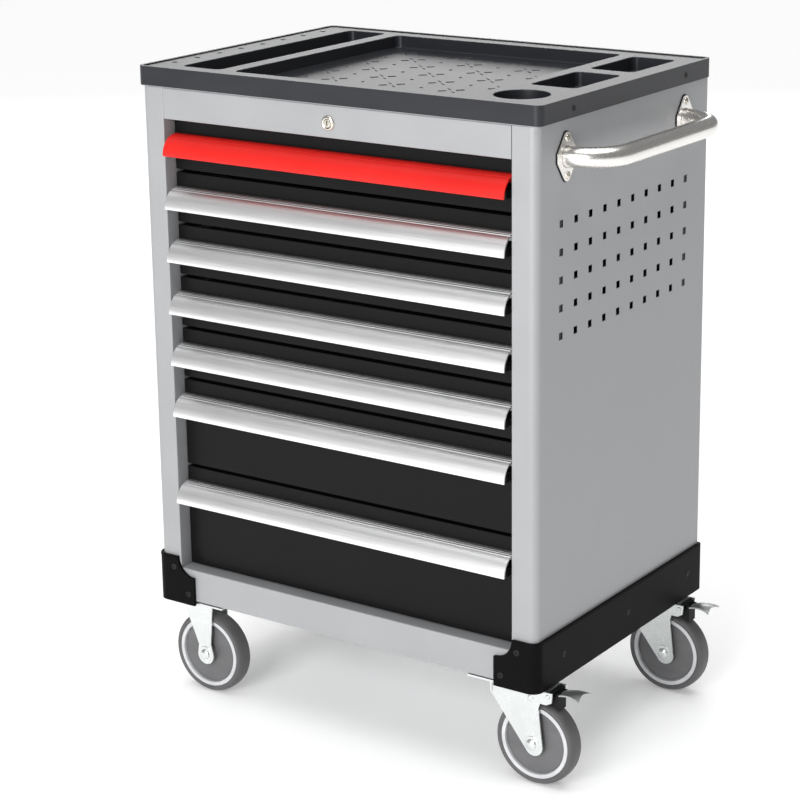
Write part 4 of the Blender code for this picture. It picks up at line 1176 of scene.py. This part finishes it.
class CHEST_OT_handle(ChestOperator, bpy.types.Operator):
    """Bend the side handle, and fix its flanges with domed screws"""

    bl_idname = "chest.handle"
    bl_label = "Handle"

    entry = 0.004
    radius = 0.014
    flange_thickness = 0.003
    tip = 0.009
    gasket = 0.0008
    gasket_edge = 0.0012
    screw_offset = 0.0245
    waist = 0.006
    cross_floor = 0.0019
    cross_half = (0.0026, 0.0005)
    dome = ((0.0054, 0.0), (0.0052, 0.0010), (0.0045, 0.0019), (0.0033, 0.0026), (0.0015, 0.0031))

    def tube(self, low, high):
        start = low.x
        reach = high.x - self.radius
        z = (low.z + high.z) / 2
        front, back = low.y + self.radius, high.y - self.radius
        bend = reach - start - self.entry
        corner = start + self.entry
        path = [(start, front)] + arc((corner, front + bend), bend, -90, 0, 24)
        path += arc((corner, back - bend), bend, 0, 90, 24) + [(start, back)]
        rounding = self.sizes.tube_sides // 4 - 1
        return bent_rod([(x, y, z) for x, y in path], self.radius, rounding)

    def flange(self, low, high, grow, start, end):
        """A lozenge plate with soft edges, grown all round and set between two heights."""
        y, z = (low.y + high.y) / 2, (low.z + high.z) / 2
        half_high, half_wide = (high.z - low.z) / 2 + grow, (high.y - low.y) / 2 + grow
        tip = self.tip + grow
        outline = [(half_wide, -self.waist), (half_wide, self.waist)]
        outline += arc((0.0, half_high - tip), tip, 35, 145, 12)
        outline += [(-half_wide, self.waist), (-half_wide, -self.waist)]
        outline += arc((0.0, tip - half_high), tip, 215, 325, 12)
        placed = [(y + u, z + v) for u, v in outline]
        plate = outline_plate(placed, low.x + start, low.x + end, "X")
        hole = rod(self.radius + SKIN, 0.01, (low.x, y, z), "X")
        return bevelled(cut(plate, hole), (end - start) * 0.35, 3)

    def screws(self, low, high):
        y, z = (low.y + high.y) / 2, (low.z + high.z) / 2
        base = low.x + self.flange_thickness - SKIN
        made = []
        for offset in (-self.screw_offset, self.screw_offset):
            head = turned(self.dome, (base, y, z + offset), "X", 32)
            for turn in (0.0, math.pi / 2):
                long, wide = self.cross_half
                slot = block((base + self.cross_floor, -long, -wide), (base + 0.006, long, wide))
                slot.data.transform(Matrix.Rotation(turn, 4, "X"))
                slot.data.transform(Matrix.Translation((0.0, y, z + offset)))
                cut(head, slot)
            made.append(head)
        return merged(made)

    def execute(self, context):
        bar = self.tube(*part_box("side_handle"))
        standing_for("side_handle", bar, "push_handle", "cabinet", "handle_steel")
        for end in ("front", "rear"):
            node = end + "_handle_flange"
            low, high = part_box(node)
            seal = self.flange(low, high, self.gasket_edge, 0.0, self.gasket)
            finished(seal, end + "_gasket", "cabinet", finish_named("soft_black"))
            plate = self.flange(low, high, 0.0, self.gasket + SKIN / 3, self.flange_thickness)
            standing_for(node, plate, end + "_flange", "cabinet", "handle_steel")
            screws = self.screws(low, high)
            finished(screws, end + "_flange_screws", "cabinet", finish_named("polished_nickel"))
        return {"FINISHED"}


class CHEST_OT_wheels(ChestOperator, bpy.types.Operator):
    """Turn the tyres and their discs, with the pale ring and the dark groove round each disc"""

    bl_idname = "chest.wheels"
    bl_label = "Wheels"

    bore = 0.0042
    hub = 0.012
    groove = 0.0461
    ring = 0.0476
    ring_edge = 0.0532
    ring_proud = 0.0007
    rim = 0.01275
    # (outwards from the ring, up from the rim), (outwards from the groove, down from the rim)
    # and (in from the tread, down from the tyre's side)
    lip = ((SKIN, 0.0), (0.0008, 0.0004), (0.0016, 0.0010))
    dish = ((-0.004, 0.0026), (0.0, 0.0034), (0.0002, 0.0060))
    shoulder = ((0.0046, 0.0), (0.0036, 0.0006), (0.0018, 0.0026), (0.0006, 0.0058), (0.0, 0.0098))

    def execute(self, context):
        for corner in ("front_left", "rear_left", "front_right", "rear_right"):
            wheel, rubber = corner + "_wheel", corner + "_tyre"
            low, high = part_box(rubber)
            middle = (low + high) / 2
            outer, half = (high.z - low.z) / 2, (high.y - low.y) / 2
            core_low, core_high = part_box(wheel)
            core, hub_half = self.ring_edge, (core_high.y - core_low.y) / 2
            rim = self.rim
            tread = [(core + out, rim + up) for out, up in self.lip]
            tread += [(outer - inward, half - down) for inward, down in self.shoulder]
            skin = turned(both_sides(tread), middle, "Y", 96, closed=True)
            standing_for(rubber, skin, corner + "_tread", wheel, "tyre_rubber")
            disc = [(self.bore, hub_half), (self.hub, hub_half), (self.hub + 0.001, rim - 0.0030)]
            disc += [(self.groove + out, rim - down) for out, down in self.dish]
            plate = turned(both_sides(disc), middle, "Y", 96, closed=True)
            standing_for(wheel, plate, corner + "_disc", wheel, "wheel_plastic")
            band = [(self.groove, rim - 0.0062), (self.ring - 0.0004, rim - 0.0060), (self.ring, rim)]
            proud = rim + self.ring_proud
            band += [(self.ring + 0.0014, proud), (core - 0.0012, proud), (core, rim)]
            ring = turned(both_sides(band), middle, "Y", 96, closed=True)
            finished(ring, corner + "_ring", wheel, finish_named("ring_moulding"))
        return {"FINISHED"}


class CHEST_OT_casters(ChestOperator, bpy.types.Operator):
    """Press the caster forks, and fit their axles, races, rivets and brakes"""

    bl_idname = "chest.casters"
    bl_label = "Casters"

    reach = 0.048
    tread_top = 0.008
    rise = 0.0015
    plate = 0.0024
    arch = 0.0038
    crown = 0.0035
    arm_end = 0.012
    pedal_half = 0.018
    shoe_half = 0.0095
    neck = 0.62
    notch = ((0.0032, 0.3), (0.0042, 0.0))
    arch_turn = 0.78
    shoe_gap = 0.0036
    shoe_edge = 0.0009
    shoe_drop = 0.022
    shoe_ends = (-0.002, 0.012)
    fork_inside = 0.0175
    fork_wall = 0.0025
    pin_past = 0.0035
    roll = 0.0042
    rivet_in = 0.0655
    rivet_drop = 0.0138
    crown_side = 0.018
    edge_foot = (0.0105, 0.008)
    # (share of the head's radius, height), then (radius, height) of a washer and a rivet
    bolt_end = ((0.62, 0.0006), (0.92, 0.0022), (1.0, 0.0040), (1.0, 0.0047))
    collar = ((0.0122, 0.0), (0.0122, 0.0004), (0.0112, 0.0009), (0.0060, 0.0009))
    rivet = ((0.0046, -SKIN), (0.0045, 0.0006), (0.0037, 0.0014), (0.0020, 0.0019))

    def axle(self, low, high):
        """A bolt with a domed head on each end over a thin washer."""
        middle = (low + high) / 2
        half = (high.y - low.y) / 2
        head = (high.z - low.z) / 2
        profile = [(0.0018, -half)]
        profile += [(head * share, -half + height) for share, height in self.bolt_end]
        profile.append((0.004, -half + 0.0048))
        return turned(both_sides(profile), middle, "Y", 40)

    def pivot(self, low, high):
        """The brake's pivot, from the pedal's box."""
        return Vector((high.x - self.reach, (low.y + high.y) / 2, high.z - self.tread_top))

    def tread(self, pivot):
        """A fish-tail foot plate: it flares, arches over and ends in two points."""
        start, tip = self.arm_end, self.reach
        outline = []
        for share in (0.0, 0.3, 0.55, 0.8, 1.0):
            half = self.pedal_half * (self.neck + 0.38 * share ** 2)
            outline.append((start + (tip - start) * share, -half))
        outline += [(tip - inward, -aside * self.pedal_half) for inward, aside in self.notch]
        outline += [(u, -v) for u, v in reversed(outline[:-1])]
        placed = [(pivot.x + u, pivot.y + v) for u, v in outline]
        plate = outline_plate(placed, pivot.z + self.rise, pivot.z + self.rise + self.plate)
        edit_all(plate)
        for share in (0.2, 0.4, 0.6, 0.8):
            bpy.ops.mesh.select_all(action="SELECT")
            spot = pivot + Vector((start + (tip - start) * share, 0.0, 0.0))
            bpy.ops.mesh.bisect(plane_co=spot, plane_no=(1.0, 0.0, 0.0))
        for share in (-0.75, -0.4, 0.0, 0.4, 0.75):
            bpy.ops.mesh.select_all(action="SELECT")
            spot = pivot + Vector((0.0, share * self.pedal_half, 0.0))
            bpy.ops.mesh.bisect(plane_co=spot, plane_no=(0.0, 1.0, 0.0))
        leave_edit()
        for vertex in plate.data.vertices:
            share = (vertex.co.x - pivot.x - start) / (tip - start)
            aside = (vertex.co.y - pivot.y) / self.pedal_half
            rise = self.arch * math.sin(math.pi * self.arch_turn * share)
            vertex.co.z += rise - self.crown * aside * aside
        return bevelled(plate, self.plate * 0.3, 2, 50.0)

    def pin(self, radius, end, chamfer, half, place, sides):
        """A cross pin that narrows to a smaller radius at both ends."""
        profile = [(end, -half), (radius, -half + chamfer), (radius, half - chamfer), (end, half)]
        return turned(profile, place, "Y", sides)

    def rocker(self, pivot):
        """The dark arm on its cross pin, between the fork's ears and the foot plate."""
        half = self.pedal_half * self.neck
        arm = block(
            (pivot.x - 0.004, pivot.y - half, pivot.z + self.rise - SKIN),
            (pivot.x + self.arm_end + 0.002, pivot.y + half, pivot.z + self.rise + self.plate),
            0.0006, 2,
        )
        inside = self.fork_inside - 0.001
        boss = self.pin(0.0065, 0.0055, 0.001, inside, pivot, 32)
        outside = self.fork_inside + self.pin_past
        pin = self.pin(0.003, 0.0022, 0.0006, outside, pivot, 24)
        return merged([arm, boss]), pin

    def shoe(self, pivot, wheel):
        """A rubber block whose foot is hollowed to the tyre."""
        inner, outer = self.shoe_ends
        pad = block(
            (pivot.x + inner, pivot.y - self.shoe_half, pivot.z - self.shoe_drop),
            (pivot.x + outer, pivot.y + self.shoe_half, pivot.z + 0.001),
        )
        low, high = wheel
        radius = (high.z - low.z) / 2 + self.shoe_gap
        return bevelled(cut(pad, rod(radius, 0.02, (low + high) / 2, "Y", 96)), self.shoe_edge, 2)

    def washer(self, low, high, outside):
        """A raised ring round the axle on the outside of each arm."""
        middle = (low + high) / 2
        made = []
        for axis in ("Y", "-Y"):
            profile = [(radius, outside + height) for radius, height in self.collar]
            made.append(turned(profile, middle, axis, 40))
        return merged(made)

    def rivets(self, node):
        """A round rivet head high on each arm of a swivelling fork."""
        low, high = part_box(node)
        place = Vector((low.x + self.rivet_in, (low.y + high.y) / 2, high.z - self.rivet_drop))
        half = (high.y - low.y) / 2
        lifted = [(radius, half + height) for radius, height in self.rivet]
        return merged([turned(lifted, place, axis, 28) for axis in ("Y", "-Y")])

    def rolled_edge(self, points, middle_y, half):
        """A rounded roll along an arm's front edge, on each side of the wheel."""
        made = []
        for side in (-1, 1):
            inner = [(x + self.roll, z) for x, z in reversed(points)]
            low, high = sorted((middle_y + side * half, middle_y + side * (half - self.roll)))
            strip = outline_plate(points + inner, low, high, "Y")
            outer_y = middle_y + side * half
            edge_points = [Vector((x, outer_y, z)) for x, z in points]

            def on_edge(place):
                return any((place - spot).length < SKIN for spot in edge_points)

            made.append(soften_edges(strip, on_edge, self.roll * 0.95, 6))
        return merged(made)

    def execute(self, context):
        zinc = finish_named("zinc_plating")
        for end in ("front", "rear"):
            left, right = end + "_left", end + "_right"
            caster = right + "_caster"
            for node, name, body, edge, steps in (
                (left + "_fork", left + "_pressed_fork", "cabinet", 0.0007, 3),
                (right + "_fork", right + "_pressed_fork", caster, 0.0007, 3),
                (right + "_caster_plate", right + "_top_plate", "cabinet", 0.0006, 2),
            ):
                piece = bevelled(copy_of(node), edge, steps)
                standing_for(node, piece, name, body, "caster_zinc")
            for corner, body in ((left, "cabinet"), (right, caster)):
                node = corner + "_axle"
                bolt = self.axle(*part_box(node))
                standing_for(node, bolt, corner + "_axle_bolt", body, "caster_zinc")
                ring = self.washer(*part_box(node), self.fork_inside + self.fork_wall)
                finished(ring, corner + "_axle_washers", body, zinc)
            fork_low, fork_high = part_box(right + "_fork")
            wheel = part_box(right + "_tyre")
            finished(self.rivets(right + "_fork"), right + "_rivets", caster, zinc)
            front = fork_low.x
            axle_x = (wheel[0].x + wheel[1].x) / 2
            line = [(front, fork_high.z), (front, fork_high.z - self.crown_side)]
            back, down = self.edge_foot
            line.append((axle_x - back, (wheel[0].z + wheel[1].z) / 2 - down))
            middle_y = (fork_low.y + fork_high.y) / 2
            edge = self.rolled_edge(line, middle_y, (fork_high.y - fork_low.y) / 2)
            finished(edge, right + "_fork_edges", caster, zinc)
            node = right + "_brake_pedal"
            body = right + "_brake"
            pivot = self.pivot(*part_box(node))
            dark = finish_named("dark_plating_and_painted_shade")
            arm, pin = self.rocker(pivot)
            finished(arm, right + "_brake_arm", body, dark, (node,))
            finished(pin, right + "_brake_pin", body, zinc)
            finished(self.tread(pivot), right + "_brake_tread", body, finish_named("pedal_plating"))
            finished(self.shoe(pivot, wheel), right + "_brake_shoe", body, finish_named("soft_black"))
        return {"FINISHED"}


class CHEST_OT_stage(ChestOperator, bpy.types.Operator):
    """Set out the pale floor, the soft lights and the camera"""

    bl_idname = "chest.stage"
    bl_label = "Stage"

    lens = 105.48
    azimuth = 34.85
    elevation = 15.66
    roll = -0.777
    camera_place = (1.8253, -2.7394, 1.4690)
    shift = (0.0006, -0.0690)
    surround = 0.24
    floor_tone = 0.94
    floor_glow = 0.18
    sun_strength = 1.9
    sun_angle = 60

    def floor(self):
        nothing_selected()
        bpy.ops.mesh.primitive_plane_add(size=40.0, location=(0.0, 0.0, -0.0002))
        ground = bpy.context.object
        ground.name = "floor"
        made, shader, place = start_finish("pale_floor")
        plug_in(
            place, shader,
            Base_Color=opaque((self.floor_tone,) * 3),
            Roughness=0.75,
            Emission_Color=opaque((1.0, 1.0, 1.0)),
            Emission_Strength=self.floor_glow,
        )
        ground.data.materials.append(made)

    def lamp(self, name, place, aim, width, height, power):
        nothing_selected()
        bpy.ops.object.light_add(type="AREA", location=place)
        light = bpy.context.object
        light.name = name
        light.data.shape = "RECTANGLE"
        light.data.size, light.data.size_y = width, height
        light.data.energy = power
        light.rotation_euler = (Vector(aim) - Vector(place)).to_track_quat("-Z", "Y").to_euler()

    def overhead(self):
        """Soft light from straight above, which keeps the floor pale far from the chest."""
        nothing_selected()
        bpy.ops.object.light_add(type="SUN", location=(0.0, 0.0, 3.0))
        light = bpy.context.object
        light.name = "overhead"
        light.data.energy = self.sun_strength
        light.data.angle = math.radians(self.sun_angle)

    def camera(self):
        nothing_selected()
        bpy.ops.object.camera_add(location=self.camera_place)
        eye = bpy.context.object
        azimuth, elevation = math.radians(self.azimuth), math.radians(self.elevation)
        turn = Matrix.Rotation(azimuth, 4, "Z") @ Matrix.Rotation(math.pi / 2 - elevation, 4, "X")
        eye.matrix_world = (
            Matrix.Translation(self.camera_place) @ turn @ Matrix.Rotation(math.radians(self.roll), 4, "Z")
        )
        eye.data.lens = self.lens
        eye.data.sensor_width = 36.0
        eye.data.shift_x, eye.data.shift_y = self.shift
        bpy.context.scene.camera = eye

    def execute(self, context):
        self.floor()
        self.lamp("key", (0.5, -4.4, 2.0), (0.0, 0.0, 0.5), 2.2, 2.2, 162.0)
        self.lamp("back", (-2.7, 4.2, 2.1), (0.0, 0.0, 0.9), 2.8, 1.3, 34.0)
        self.overhead()
        world = context.scene.world or bpy.data.worlds.new("studio")
        context.scene.world = world
        world.use_nodes = True
        world.node_tree.nodes["Background"].inputs["Color"].default_value = (1.0, 1.0, 1.0, 1.0)
        world.node_tree.nodes["Background"].inputs["Strength"].default_value = self.surround
        context.scene.view_settings.view_transform = "Standard"
        self.camera()
        return {"FINISHED"}


class CHEST_PT_panel(bpy.types.Panel):
    bl_idname = "CHEST_PT_panel"
    bl_label = "Rolling tool chest"
    bl_space_type = "VIEW_3D"
    bl_region_type = "UI"
    bl_category = "Tool chest"

    def draw(self, context):
        for group in (context.scene.chest_colours, context.scene.chest_sizes):
            for name in group.bl_rna.properties.keys():
                if name not in ("rna_type", "name"):
                    self.layout.prop(group, name)
        for step in STEPS:
            self.layout.operator(step.bl_idname)


STEPS = (
    CHEST_OT_finishes,
    CHEST_OT_side_panels,
    CHEST_OT_rails,
    CHEST_OT_shell,
    CHEST_OT_worktop,
    CHEST_OT_skirts,
    CHEST_OT_drawers,
    CHEST_OT_pulls,
    CHEST_OT_lock,
    CHEST_OT_handle,
    CHEST_OT_wheels,
    CHEST_OT_casters,
    CHEST_OT_stage,
)
CLASSES = (ChestColours, ChestSizes, *STEPS, CHEST_PT_panel)


def register():
    for made in CLASSES:
        bpy.utils.register_class(made)
    bpy.types.Scene.chest_colours = PointerProperty(type=ChestColours)
    bpy.types.Scene.chest_sizes = PointerProperty(type=ChestSizes)


def unregister():
    del bpy.types.Scene.chest_sizes
    del bpy.types.Scene.chest_colours
    for made in reversed(CLASSES):
        bpy.utils.unregister_class(made)


def clear_startup():
    """Removes the startup scene's own objects and keeps the frame."""
    for thing in list(bpy.data.objects):
        if thing.type in ("LIGHT", "CAMERA") or thing.name == "Cube":
            bpy.data.objects.remove(thing)


def main():
    clear_startup()
    register()
    for step in STEPS:
        group, name = step.bl_idname.split(".")
        getattr(getattr(bpy.ops, group), name)()


if __name__ == "__main__":
    main()
